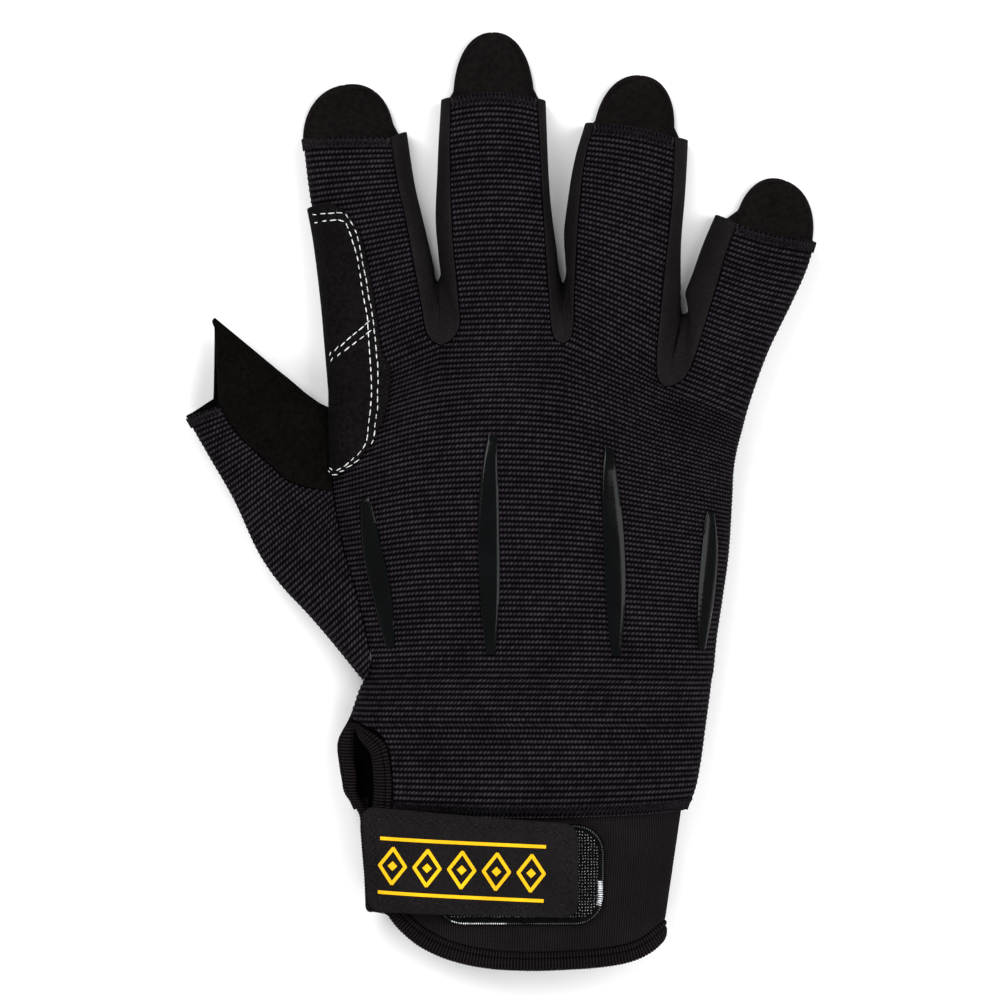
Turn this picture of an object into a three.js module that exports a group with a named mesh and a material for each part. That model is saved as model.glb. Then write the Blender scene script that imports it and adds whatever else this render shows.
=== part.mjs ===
// A right-hand climbing glove, laid palm down: ribbed knit back, suede palm with bare fingertip
// tongues, side walls between the fingers, a wrist cuff with bound edges, a vent slit and a strap.
// Millimetres, +Z up. The fingers point to +Y, the thumb lies on the -X side, and the palm rests on Z = 0.
import * as THREE from "three";

// Walls and clearances
const KNIT = 1.3;
const SUEDE = 1.2;
const SIDE_WALL = 1.0;
const CUFF_WALL = 2.0;
const PATCH = 1.0;
const PRINT = 0.5;
const STRAP_THICKNESS = 2.0;
const CLOSURE_THICKNESS = 1.0;
const BINDING_WIDTH = 4.6;
const BINDING_THICKNESS = 2.6;
const SEAM_GAP = 0.35;
const CUFF_LAP = 3;

// The hand
const CUFF_SEAM_Y = -77.5;
const CUFF_SEAM_SAG = 1.3;
const PALM_LENGTH = 116;
const KNUCKLE_START_X = -41.8;
const KNUCKLE_START_DROP = 11.5;
const PALM_DEPTH = 24;
const SIDE_SEAM_HEIGHT = 8;
const FINGER_DEPTH = 13.5;
const FINGER_SEAM_HEIGHT = 5.6;
const PALM_EDGE_LIFT = 0.9;
const TIP_CURL = 1.8;
const TIP_FULLNESS = 2.2;
const TIP_TAPER = 0.12;

// The fingers from the thumb side: root is the width and slope of its stretch of the knuckle line.
// Lengths run from the knuckle line to the open hem; tip is the suede tongue beyond the hem.
const FINGERS = [
  { name: "index", root: 29.2, slope: 22.9, tilt: -9.7, length: 58.8, tip: 14, tipWidth: 23.3, lean: 1.2 },
  { name: "middle", root: 30.5, slope: 0.9, tilt: -1.9, length: 61.9, tip: 17.4, tipWidth: 20.4, lean: 0.2 },
  { name: "ring", root: 27.7, slope: -22.9, tilt: 5.0, length: 59.2, tip: 14.7, tipWidth: 20.2, lean: 0.6 },
  { name: "little", root: 21.6, slope: -22.4, tilt: 22.2, length: 46.6, tip: 13.6, tipWidth: 20.4, lean: -2 },
];

// The thumb
const THUMB_LENGTH = 79;
const THUMB_ANGLE = 33.9;
const THUMB_HEM = 9.2;
const THUMB_HEM_ANGLE = 19;
const THUMB_GIRTH = 24.9;
const THUMB_DEPTH = 15;
const THUMB_HEM_DEPTH = 12.5;
const THUMB_TIP = 17;
const THUMB_TIP_RISE = 2;
const THUMB_TIP_LEAN = 0.8;
const TONGUE_ROOT = 0.6;

// The cuff, its closure and the strap
const CUFF_HEIGHT = 34.2;
const CUFF_TAPER = 3.9;
const CUFF_LEAN = 1.1;
const STRAP_LENGTH = 53.8;
const STRAP_WIDTH = 24.6;
const STRAP_FLARE = 1.2;
const STRAP_OVER_SEAM = 1.6;
const STRAP_CLEAR = 0.8;
const STRAP_SLOPE = 4.5;
const STRAP_CORNER = 3.5;
const CLOSURE_LENGTH = 42;
const CLOSURE_WIDTH = 24.7;
const CLOSURE_DROP = 3;
const CLOSURE_PAST_STRAP = 6.5;

// The gloss bars printed along the back of the hand
const BAR_WIDTH = 5.2;
const BAR_TAPER = 0.85;
const BARS = {
  index: { start: 0.36, end: 0.7 },
  middle: { start: 0.34, end: 0.8 },
  ring: { start: 0.34, end: 0.8 },
  little: { start: 0.36, end: 0.7 },
};

// Shares of the palm length and of the knuckle span: the side line, the knit's thumb-side edge
// and the little-finger edge.
const BACK_ROWS = [
  { along: 0.0, side: 0.049, back: 0.146, little: 0.862 },
  { along: 0.05, side: 0.024, back: 0.148, little: 0.882 },
  { along: 0.1, side: 0.013, back: 0.145, little: 0.893 },
  { along: 0.15, side: 0.01, back: 0.132, little: 0.901 },
  { along: 0.18, side: 0.026, back: 0.103, little: 0.905 },
  { along: 0.2, side: 0.038, back: 0.05, little: 0.908 },
  { along: 0.24, side: 0.053, back: 0.054, little: 0.914 },
  { along: 0.285, side: 0.0735, back: 0.0735, little: 0.92 },
  { along: 0.31, side: 0.068, back: 0.094, little: 0.925 },
  { along: 0.38, side: 0.042, back: 0.086, little: 0.932 },
  { along: 0.49, side: 0.018, back: 0.058, little: 0.948 },
  { along: 0.6, side: 0.002, back: 0.026, little: 0.962 },
  { along: 0.74, side: -0.006, back: 0.002, little: 0.97 },
  { along: 0.86, side: -0.002, back: 0.0, little: 0.976 },
  { along: 1.0, side: 0.0, back: 0.0, little: 1.0 },
];
// Crown of the back of the hand, as shares of the palm depth.
const CROWN_ROWS = [
  { along: 0.0, crown: 0.8 },
  { along: 0.22, crown: 0.92 },
  { along: 0.46, crown: 1.0 },
  { along: 0.7, crown: 0.95 },
  { along: 0.86, crown: 0.84 },
  { along: 1.0, crown: 0.72 },
];
// The palm's own thumb-side edge, as shares of the same sizes, and how far that edge is lifted.
const PALM_ROWS = [
  { along: 0.0, edge: 0.049, lift: 1.0 },
  { along: 0.05, edge: 0.024, lift: 1.0 },
  { along: 0.1, edge: 0.013, lift: 1.0 },
  { along: 0.15, edge: 0.01, lift: 1.0 },
  { along: 0.2, edge: 0.038, lift: 1.0 },
  { along: 0.285, edge: 0.0735, lift: 1.0 },
  { along: 0.31, edge: 0.084, lift: 0.6 },
  { along: 0.38, edge: 0.086, lift: 0.12 },
  { along: 0.5, edge: 0.062, lift: 0.05 },
  { along: 0.65, edge: 0.036, lift: 0.05 },
  { along: 0.8, edge: 0.02, lift: 0.1 },
  { along: 0.9, edge: 0.008, lift: 0.5 },
  { along: 0.96, edge: 0.0, lift: 0.95 },
  { along: 1.0, edge: 0.0, lift: 1.0 },
];
// Knit edges of each finger's back, as shares of its root width from its own axis.
const FINGER_EDGES = {
  index: [
    { along: 0.0, left: -0.5, right: 0.5 },
    { along: 0.03, left: -0.494, right: 0.428 },
    { along: 0.08, left: -0.484, right: 0.387 },
    { along: 0.2, left: -0.462, right: 0.384 },
    { along: 0.35, left: -0.436, right: 0.382 },
    { along: 0.6, left: -0.41, right: 0.376 },
    { along: 0.78, left: -0.415, right: 0.36 },
    { along: 1.0, left: -0.392, right: 0.368 },
  ],
  middle: [
    { along: 0.0, left: -0.5, right: 0.5 },
    { along: 0.02, left: -0.41, right: 0.43 },
    { along: 0.08, left: -0.333, right: 0.4 },
    { along: 0.2, left: -0.338, right: 0.39 },
    { along: 0.45, left: -0.366, right: 0.372 },
    { along: 0.75, left: -0.366, right: 0.358 },
    { along: 1.0, left: -0.348, right: 0.352 },
  ],
  ring: [
    { along: 0.0, left: -0.5, right: 0.5 },
    { along: 0.02, left: -0.44, right: 0.43 },
    { along: 0.08, left: -0.41, right: 0.39 },
    { along: 0.2, left: -0.424, right: 0.38 },
    { along: 0.45, left: -0.444, right: 0.388 },
    { along: 0.72, left: -0.45, right: 0.402 },
    { along: 0.86, left: -0.43, right: 0.394 },
    { along: 1.0, left: -0.382, right: 0.378 },
  ],
  little: [
    { along: 0.0, left: -0.5, right: 0.5 },
    { along: 0.03, left: -0.41, right: 0.49 },
    { along: 0.09, left: -0.33, right: 0.478 },
    { along: 0.2, left: -0.31, right: 0.462 },
    { along: 0.4, left: -0.34, right: 0.455 },
    { along: 0.65, left: -0.39, right: 0.492 },
    { along: 0.85, left: -0.432, right: 0.508 },
    { along: 1.0, left: -0.446, right: 0.478 },
  ],
};
// How far each finger's hem runs past square (skew) and arches, as shares of the finger's length.
const HEMS = {
  index: { skew: -0.031, arch: 0.0 },
  middle: { skew: -0.008, arch: 0.022 },
  ring: { skew: -0.015, arch: 0.01 },
  little: { skew: 0.038, arch: -0.018 },
};
// Crown and edge drop along a finger's back, as shares of the finger depth.
const FINGER_CROWN = [
  { along: 0.0, crown: 1.26, drop: 0.3 },
  { along: 0.1, crown: 1.19, drop: 0.24 },
  { along: 0.3, crown: 1.08, drop: 0.16 },
  { along: 0.65, crown: 1.0, drop: 0.13 },
  { along: 1.0, crown: 0.94, drop: 0.12 },
];
// Side walls between the fingers: how far each bulges past the knit's edge, as shares of the finger
// depth, from the first finger's hem down to the crotch (0.5) and up to the second finger's hem.
// The web is how far the palm's crotch lies past the knit's, and a hem rise lifts the wall's end.
const SIDE_WALLS = [
  {
    name: "sidewall_index_middle",
    first: 0,
    web: 12.6,
    hemRise: [1.6, 0],
    rows: [
      { along: 0.0, bulge: 0.3 },
      { along: 0.3, bulge: 0.29 },
      { along: 0.44, bulge: 0.28 },
      { along: 0.5, bulge: 0.26 },
      { along: 0.56, bulge: 0.28 },
      { along: 0.75, bulge: 0.28 },
      { along: 0.9, bulge: 0.22 },
      { along: 1.0, bulge: 0.17 },
    ],
  },
  {
    name: "sidewall_middle_ring",
    first: 1,
    web: 13.6,
    hemRise: [0, 0],
    rows: [
      { along: 0.0, bulge: 0.15 },
      { along: 0.3, bulge: 0.13 },
      { along: 0.44, bulge: 0.13 },
      { along: 0.5, bulge: 0.15 },
      { along: 0.56, bulge: 0.15 },
      { along: 0.7, bulge: 0.22 },
      { along: 0.85, bulge: 0.2 },
      { along: 1.0, bulge: 0.15 },
    ],
  },
  {
    name: "sidewall_ring_little",
    first: 2,
    web: 15.5,
    hemRise: [0, 1],
    rows: [
      { along: 0.0, bulge: 0.26 },
      { along: 0.3, bulge: 0.23 },
      { along: 0.44, bulge: 0.22 },
      { along: 0.5, bulge: 0.23 },
      { along: 0.57, bulge: 0.26 },
      { along: 0.7, bulge: 0.46 },
      { along: 0.85, bulge: 0.46 },
      { along: 1.0, bulge: 0.4 },
    ],
  },
];
// The suede patch round the index finger's side: along runs from the cuff seam (0) past the knuckle
// line (1) to the hem (2); start and reach are shares of the index finger's columns.
const PATCH_ROWS = [
  { along: 0.77, start: 0.1, reach: 0.14 },
  { along: 0.785, start: 0.06, reach: 0.37 },
  { along: 0.82, start: 0.05, reach: 0.54 },
  { along: 0.88, start: 0.02, reach: 0.645 },
  { along: 0.95, start: 0.0, reach: 0.67 },
  { along: 1.1, start: 0.0, reach: 0.67 },
  { along: 1.4, start: 0.0, reach: 0.66 },
  { along: 1.56, start: 0.0, reach: 0.63 },
  { along: 1.65, start: 0.0, reach: 0.58 },
  { along: 1.7, start: 0.0, reach: 0.5 },
  { along: 1.73, start: 0.0, reach: 0.4 },
];
// The thumb's outer line, the suede seam and the web line, each bowed from its chord, as shares of
// the thumb's length.
const THUMB_BOWS = [
  { along: 0.0, outer: 0.0, seam: 0.0, web: 0.0 },
  { along: 0.13, outer: -0.011, seam: -0.042, web: -0.009 },
  { along: 0.26, outer: -0.026, seam: -0.062, web: -0.01 },
  { along: 0.4, outer: -0.048, seam: -0.056, web: -0.01 },
  { along: 0.52, outer: -0.049, seam: -0.052, web: -0.007 },
  { along: 0.7, outer: -0.021, seam: -0.042, web: -0.004 },
  { along: 0.87, outer: -0.009, seam: -0.022, web: -0.002 },
  { along: 1.0, outer: 0.0, seam: 0.0, web: 0.0 },
];
// Lower line of the cuff: how far it reaches on the back and on the palm side, as shares of its height.
const CUFF_HEM = [
  { across: -1.0, back: 0.5, palm: 0.6 },
  { across: -0.8, back: 0.62, palm: 0.66 },
  { across: -0.72, back: 0.74, palm: 0.73 },
  { across: -0.6, back: 0.85, palm: 0.82 },
  { across: -0.4, back: 0.945, palm: 0.9 },
  { across: -0.1, back: 1.0, palm: 0.93 },
  { across: 0.35, back: 1.0, palm: 0.93 },
  { across: 0.8, back: 0.94, palm: 0.89 },
  { across: 1.0, back: 0.79, palm: 0.79 },
];

// Places that other pieces line up with, as shares along the back of the hand.
const VENT_TOP = 0.19;
const THUMB_FOOT = 0.285;
const THUMB_JOIN = 0.735;
const WEB_JOIN = 0.955;

// Mesh steps
const FINGER_COLUMNS = [7, 7, 7, 6];
const WRIST_STEPS = [0, 0.07, 0.13, 0.165, 0.185, 0.2, 0.24];
const HAND_STEPS = [...WRIST_STEPS, 0.285, 0.31, 0.38, 0.5, 0.6, 0.7, 0.78, 0.86, 0.94, 1];
const HEEL_STEPS = [0, 0.05, 0.1, 0.15, 0.2];
const THUMB_JOIN_STEPS = 8;
const FINGER_STEPS = [0, 0.03, 0.09, 0.2, 0.36, 0.56, 0.78, 1];
const TIP_STEPS = 5;
const CUFF_STEPS = 32;

const radians = THREE.MathUtils.degToRad;
const mix = THREE.MathUtils.lerp;
const smooth = THREE.MathUtils.smoothstep;
const vector = (x, y, z) => new THREE.Vector3(x, y, z);

// A named column of a table as a smooth function of its key column (Catmull-Rom, ends held).
function column(rows, key, name) {
  const at = (i) => rows[THREE.MathUtils.clamp(i, 0, rows.length - 1)];
  return (where) => {
    let i = 0;
    while (i < rows.length - 2 && where > rows[i + 1][key]) i += 1;
    const span = at(i + 1)[key] - at(i)[key];
    const share = THREE.MathUtils.clamp((where - at(i)[key]) / span, 0, 1);
    const slope = (a, b) => (b[name] - a[name]) / Math.max(b[key] - a[key], 1e-9);
    const start = slope(at(i - 1), at(i + 1)) * span;
    const end = slope(at(i), at(i + 2)) * span;
    const [p, q] = [at(i)[name], at(i + 1)[name]];
    const [s2, s3] = [share * share, share * share * share];
    const bend = (s3 - 2 * s2 + share) * start + (s3 - s2) * end;
    return mix(p, q, 3 * s2 - 2 * s3) + bend;
  };
}

// Cross-section heights: 1 at the crown and 0 at the edge, where u runs from -1 to 1.
const SHOULDER_BEND = 3;
const SHOULDER_POWER = 0.45;
const roundShoulder = (u) => Math.pow(Math.max(0, 1 - Math.pow(Math.abs(u), SHOULDER_BEND)), SHOULDER_POWER);
const softShoulder = (u) => Math.max(0, 1 - Math.pow(Math.abs(u), 2.4));
const FLOOR_FLAT = 0.3;
const FLOOR_BEND = 4.8;
function flatFloor(u) {
  const beyond = Math.max(0, Math.abs(u) - FLOOR_FLAT) / (1 - FLOOR_FLAT);
  return Math.sqrt(Math.max(0, 1 - Math.pow(beyond, FLOOR_BEND)));
}

// Spreads columns evenly, or closer together towards a rounded low or high end.
function spread(share, low, high) {
  const eased = low && high ? (1 - Math.cos(Math.PI * share)) / 2
    : low ? 1 - Math.cos((Math.PI * share) / 2)
    : high ? Math.sin((Math.PI * share) / 2)
    : share;
  return mix(share, eased, 0.8);
}

// The knuckle line: crotch points chained from the finger root widths and slopes.
const knuckles = [vector(KNUCKLE_START_X, CUFF_SEAM_Y + PALM_LENGTH - KNUCKLE_START_DROP, 0)];
for (const finger of FINGERS) {
  const step = vector(Math.cos(radians(finger.slope)), Math.sin(radians(finger.slope)), 0);
  knuckles.push(knuckles.at(-1).clone().addScaledVector(step, finger.root));
}
const knuckleSpan = knuckles.at(-1).x - knuckles[0].x;
const totalColumns = FINGER_COLUMNS.reduce((a, b) => a + b);
const firstColumn = FINGERS.map((_, i) => FINGER_COLUMNS.slice(0, i).reduce((a, b) => a + b, 0));

FINGERS.forEach((finger, i) => {
  finger.axis = vector(Math.sin(radians(finger.tilt)), Math.cos(radians(finger.tilt)), 0);
  finger.lateral = vector(finger.axis.y, -finger.axis.x, 0);
  finger.centre = knuckles[i].clone().add(knuckles[i + 1]).multiplyScalar(0.5);
  finger.width = knuckles[i + 1].clone().sub(knuckles[i]).dot(finger.lateral);
  finger.left = column(FINGER_EDGES[finger.name], "along", "left");
  finger.right = column(FINGER_EDGES[finger.name], "along", "right");
  finger.wrapLeft = i === 0;
  finger.wrapRight = i === FINGERS.length - 1;
});
const fingerCrown = column(FINGER_CROWN, "along", "crown");
const fingerDrop = column(FINGER_CROWN, "along", "drop");

// Which finger a hand column belongs to, and where it lies across that finger (0 to 1).
function fingerAt(c) {
  const place = c * totalColumns;
  let i = FINGERS.length - 1;
  while (i > 0 && place < firstColumn[i] - 1e-6) i -= 1;
  const share = THREE.MathUtils.clamp((place - firstColumn[i]) / FINGER_COLUMNS[i], 0, 1);
  return { i, share, across: spread(share, FINGERS[i].wrapLeft, FINGERS[i].wrapRight) };
}

// Height of a finger's back at a place along it and across it (0 to 1).
const FINGER_BLEND = 0.5;
function fingerHeight(finger, across, along) {
  const crown = fingerCrown(along) * FINGER_DEPTH;
  const u = 2 * across - 1;
  const wraps = u < 0 ? finger.wrapLeft : finger.wrapRight;
  const edge = wraps ? mix(SIDE_SEAM_HEIGHT, FINGER_SEAM_HEIGHT, smooth(along, 0, FINGER_BLEND))
    : crown - fingerDrop(along) * FINGER_DEPTH;
  return edge + (crown - edge) * (wraps ? roundShoulder(u) : softShoulder(u));
}

// Plan position on a finger: leftShift and rightShift move its edges outwards, in millimetres.
function fingerPlan(i, across, along, leftShift = 0, rightShift = 0) {
  const finger = FINGERS[i];
  const hem = HEMS[finger.name];
  const root = knuckles[i].clone().lerp(knuckles[i + 1], across).sub(finger.centre);
  const u = 2 * across - 1;
  const reach = along + (root.dot(finger.axis) / finger.length) * (1 - along)
    + (hem.skew * u + hem.arch * (1 - u * u)) * along;
  const left = finger.left(along) * finger.width - leftShift;
  const right = finger.right(along) * finger.width + rightShift;
  return finger.centre.clone()
    .addScaledVector(finger.axis, reach * finger.length)
    .addScaledVector(finger.lateral, mix(left, right, across));
}

const sideLine = column(BACK_ROWS, "along", "side");
const backEdge = column(BACK_ROWS, "along", "back");
const littleEdge = column(BACK_ROWS, "along", "little");
const backCrown = column(CROWN_ROWS, "along", "crown");
const palmEdge = column(PALM_ROWS, "along", "edge");
const palmLift = column(PALM_ROWS, "along", "lift");

// Rows run level at the cuff seam and take the knuckle line's shape towards the fingers. The columns
// spread from the wrist on, and the back's round section turns into the fingers' near the knuckles.
const KNUCKLE_BEND = 2.5;
const SPREAD_FROM = 0.2;
const KNUCKLES_FROM = 0.74;
const SAG_FADE = 0.12;
function rowHeight(knuckleY, along) {
  const crest = CUFF_SEAM_Y + PALM_LENGTH;
  return CUFF_SEAM_Y + PALM_LENGTH * along + (knuckleY - crest) * Math.pow(along, KNUCKLE_BEND);
}

// Where column c lies across the hand, as a share: spread round the wrist, level with the knuckles above.
function columnPlace(c, along, knuckle) {
  return mix(spread(c, true, true), (knuckle.x - knuckles[0].x) / knuckleSpan, smooth(along, SPREAD_FROM, 1));
}

// A point on the outside of the hand's back: c runs from thumb side to little finger, and along from
// the cuff seam (0) past the knuckle line (1) to the finger hems (2).
function backPoint(c, along) {
  const { i, across } = fingerAt(c);
  if (along > 1) {
    const place = fingerPlan(i, across, along - 1);
    return place.setZ(fingerHeight(FINGERS[i], across, along - 1));
  }
  const knuckle = knuckles[i].clone().lerp(knuckles[i + 1], across);
  const [low, high] = [backEdge(along), littleEdge(along)];
  const plain = columnPlace(c, along, knuckle);
  const x = knuckles[0].x + knuckleSpan * mix(low, high, plain);
  const [sideX, littleX] = [sideLine(along), littleEdge(along)].map((s) => knuckles[0].x + knuckleSpan * s);
  const u = (x - (sideX + littleX) / 2) / ((littleX - sideX) / 2);
  const crown = backCrown(along) * PALM_DEPTH;
  const body = SIDE_SEAM_HEIGHT + (crown - SIDE_SEAM_HEIGHT) * roundShoulder(u);
  const z = mix(body, fingerHeight(FINGERS[i], across, 0), smooth(along, KNUCKLES_FROM, 1));
  const sag = CUFF_SEAM_SAG * Math.max(0, 1 - u * u) * (1 - smooth(along, 0, SAG_FADE));
  return vector(x, rowHeight(knuckle.y, along) - sag, z);
}

// How far the side wall between fingers i and i + 1 bulges, beside either finger.
function bulgeBeside(wall, share) {
  return column(SIDE_WALLS[wall].rows, "along", "bulge")(share) * FINGER_DEPTH;
}
const PALM_BULGE_SHARE = 0.75;
const CROTCH_FADE = 0.09;

// How far each crotch of the palm lies past the knit's, and how that fades along the fingers.
const WEB_BLEND = 0.75;
const webFade = (along) => 1 - smooth(along, 0, WEB_BLEND);
const webAxis = (k) => FINGERS[k].axis.clone().add(FINGERS[k + 1].axis).normalize();
const crotchWebs = SIDE_WALLS.map(({ web }, k) => webAxis(k).multiplyScalar(web));
const crotchBulges = SIDE_WALLS.map((_, k) => bulgeBeside(k, 0.5) * PALM_BULGE_SHARE);
const still = vector(0, 0, 0);
const crotchShift = (i, across) => (crotchWebs[i - 1] ?? still).clone()
  .lerp(crotchWebs[i] ?? still, across)
  .addScaledVector(FINGERS[i].axis, mix(crotchBulges[i - 1] ?? 0, crotchBulges[i] ?? 0, across));

// A point on the outside of the palm: c and along as on the back, with along past 2 on the tongues.
function palmPoint(c, along) {
  const { i, across } = fingerAt(c);
  const finger = FINGERS[i];
  const u = 2 * across - 1;
  if (along > 1) {
    const t = Math.min(along - 1, 1);
    const fade = smooth(t, 0, CROTCH_FADE);
    const [left, right] = [
      finger.wrapLeft ? 0 : bulgeBeside(i - 1, 0.5 + t / 2) * PALM_BULGE_SHARE * fade,
      finger.wrapRight ? 0 : bulgeBeside(i, 0.5 - t / 2) * PALM_BULGE_SHARE * fade,
    ];
    const place = fingerPlan(i, across, t, left, right).addScaledVector(crotchShift(i, across), webFade(t));
    const wraps = u < 0 ? finger.wrapLeft : finger.wrapRight;
    const wrapLift = mix(SIDE_SEAM_HEIGHT, FINGER_SEAM_HEIGHT, smooth(t, 0, FINGER_BLEND)) - SEAM_GAP;
    let lift = wraps ? wrapLift : PALM_EDGE_LIFT * fade;
    let curl = 0;
    if (along > 2) {
      const reach = Math.sin(((along - 2) * Math.PI) / 2);
      const half = (finger.tipWidth / 2) * Math.pow(1 - Math.pow(reach, TIP_FULLNESS), 1 / TIP_FULLNESS);
      const free = smooth(along, 2, 2 + TIP_TAPER);
      const out = finger.centre.clone()
        .addScaledVector(finger.axis, finger.length + finger.tip * reach)
        .addScaledVector(finger.lateral, half * u + finger.lean * reach);
      place.lerp(out, free);
      lift = mix(lift, PALM_EDGE_LIFT, free);
      curl = TIP_CURL * reach * reach;
    }
    return place.setZ(lift * (1 - flatFloor(u)) + curl);
  }
  const knuckle = knuckles[i].clone().lerp(knuckles[i + 1], across).add(crotchShift(i, across));
  const plain = columnPlace(c, along, knuckle);
  const besideThumb = smooth(along, THUMB_FOOT - 0.025, THUMB_FOOT + 0.055) * (1 - smooth(along, 0.8, 0.86));
  const x = knuckles[0].x + knuckleSpan * mix(palmEdge(along), littleEdge(along), plain)
    + SEAM_GAP * (1 - c) * besideThumb;
  const side = 2 * plain - 1;
  const lift = side < 0 ? palmLift(along) : 1;
  return vector(x, rowHeight(knuckle.y, along), (SIDE_SEAM_HEIGHT - SEAM_GAP) * lift * (1 - flatFloor(side)));
}

// A closed body from a sheet: faces are quads of point indices, counter-clockwise seen from outside;
// the inside wall lies at the given inner points, and every open edge gets a rim.
function closedSheet(outer, inner, faces) {
  const triangles = [];
  const count = outer.length;
  const openEdges = new Map();
  for (const [a, b, c, d] of faces) {
    triangles.push([a, b, c], [a, c, d]);
    triangles.push([a + count, c + count, b + count], [a + count, d + count, c + count]);
    for (const [p, q] of [[a, b], [b, c], [c, d], [d, a]]) {
      if (openEdges.has(q + "," + p)) openEdges.delete(q + "," + p);
      else openEdges.set(p + "," + q, [p, q]);
    }
  }
  for (const [p, q] of openEdges.values()) {
    triangles.push([q, p, p + count], [q, p + count, q + count]);
  }
  const points = [...outer, ...inner];
  const geometry = new THREE.BufferGeometry();
  geometry.setAttribute("position", new THREE.Float32BufferAttribute(points.flatMap((p) => p.toArray()), 3));
  geometry.setIndex(triangles.flat());
  geometry.computeVertexNormals();
  return geometry;
}

// Normals of a sheet's points, averaged from its faces.
function sheetNormals(points, faces) {
  const normals = points.map(() => vector(0, 0, 0));
  for (const face of faces) {
    const [a, b, c, d] = face.map((k) => points[k]);
    const normal = c.clone().sub(a).cross(d.clone().sub(b));
    face.forEach((k) => normals[k].add(normal));
  }
  return normals.map((n) => n.normalize());
}

// A sheet of even thickness whose outside is `raise` above the given points. At the side seams, whose
// places in the list are given as level, the wall stands square so that facing rims stay apart.
function evenSheet(points, faces, thickness, raise = 0, level = []) {
  const normals = sheetNormals(points, faces);
  for (const k of level) normals[k].setZ(0).normalize();
  const outer = points.map((p, k) => p.clone().addScaledVector(normals[k], raise));
  const inner = points.map((p, k) => p.clone().addScaledVector(normals[k], raise - thickness));
  return closedSheet(outer, inner, faces);
}

// Quads of a plain grid of rows and columns; flipped turns them to face the other way.
function gridFaces(rows, columns, flipped = false) {
  const faces = [];
  for (let r = 0; r < rows - 1; r += 1) {
    for (let c = 0; c < columns - 1; c += 1) {
      const k = r * columns + c;
      const quad = [k, k + 1, k + columns + 1, k + columns];
      faces.push(flipped ? quad.reverse() : quad);
    }
  }
  return faces;
}

// The hand-shaped sheet shared by the back and the palm: one grid for the hand, one for each finger.
function handSheet(pointAt, handRows, fingerRows, flipped) {
  const points = [];
  const faces = [];
  const level = [];
  const addQuad = (quad) => faces.push(flipped ? quad.reverse() : quad);
  for (const along of handRows) {
    for (let c = 0; c <= totalColumns; c += 1) {
      const place = pointAt(c / totalColumns, along);
      if (c % totalColumns === 0 && Math.abs(place.z - SIDE_SEAM_HEIGHT) < 1) level.push(points.length);
      points.push(place);
    }
  }
  const across = totalColumns + 1;
  for (let r = 0; r < handRows.length - 1; r += 1) {
    for (let c = 0; c < totalColumns; c += 1) {
      const k = r * across + c;
      addQuad([k, k + 1, k + across + 1, k + across]);
    }
  }
  FINGERS.forEach((_, i) => {
    const columns = FINGER_COLUMNS[i];
    const rootStart = (handRows.length - 1) * across + firstColumn[i];
    let below = [...Array(columns + 1).keys()].map((c) => rootStart + c);
    for (const along of fingerRows.slice(1)) {
      const row = below.map((_, c) => {
        const inside = THREE.MathUtils.clamp(c, 1e-4, columns - 1e-4);
        points.push(pointAt((firstColumn[i] + inside) / totalColumns, 1 + along));
        return points.length - 1;
      });
      for (let c = 0; c < columns; c += 1) addQuad([below[c], below[c + 1], row[c + 1], row[c]]);
      if (FINGERS[i].wrapLeft) level.push(row[0]);
      if (FINGERS[i].wrapRight) level.push(row.at(-1));
      below = row;
    }
  });
  return { points, faces, level };
}

// A grid of points from a function of two shares.
function gridPoints(rows, columns, pointAt) {
  const points = [];
  for (let r = 0; r < rows; r += 1) {
    for (let c = 0; c < columns; c += 1) points.push(pointAt(c / (columns - 1), r / (rows - 1)));
  }
  return points;
}

function handBack() {
  const { points, faces, level } = handSheet(backPoint, HAND_STEPS, FINGER_STEPS, false);
  return evenSheet(points, faces, KNIT, 0, level);
}

// Where the thumb's suede meets the palm, from the web of the thumb (0) down to its foot (1).
const thumbJoinPlace = (share) => mix(WEB_JOIN, THUMB_FOOT, spread(share, true, true));

function palm() {
  const TONGUE_END = 0.9;
  const tongueRows = [...Array(TIP_STEPS).keys()].map((k) => 1 + ((k + 1) / TIP_STEPS) * TONGUE_END);
  const joinSteps = [...Array(THUMB_JOIN_STEPS + 1).keys()].reverse();
  const joinRows = joinSteps.map((k) => thumbJoinPlace(k / THUMB_JOIN_STEPS));
  const handRows = [...HEEL_STEPS, ...joinRows, 1];
  const { points, faces, level } = handSheet(palmPoint, handRows, [...FINGER_STEPS, ...tongueRows], true);
  return evenSheet(points, faces, SUEDE, 0, level);
}

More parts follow.
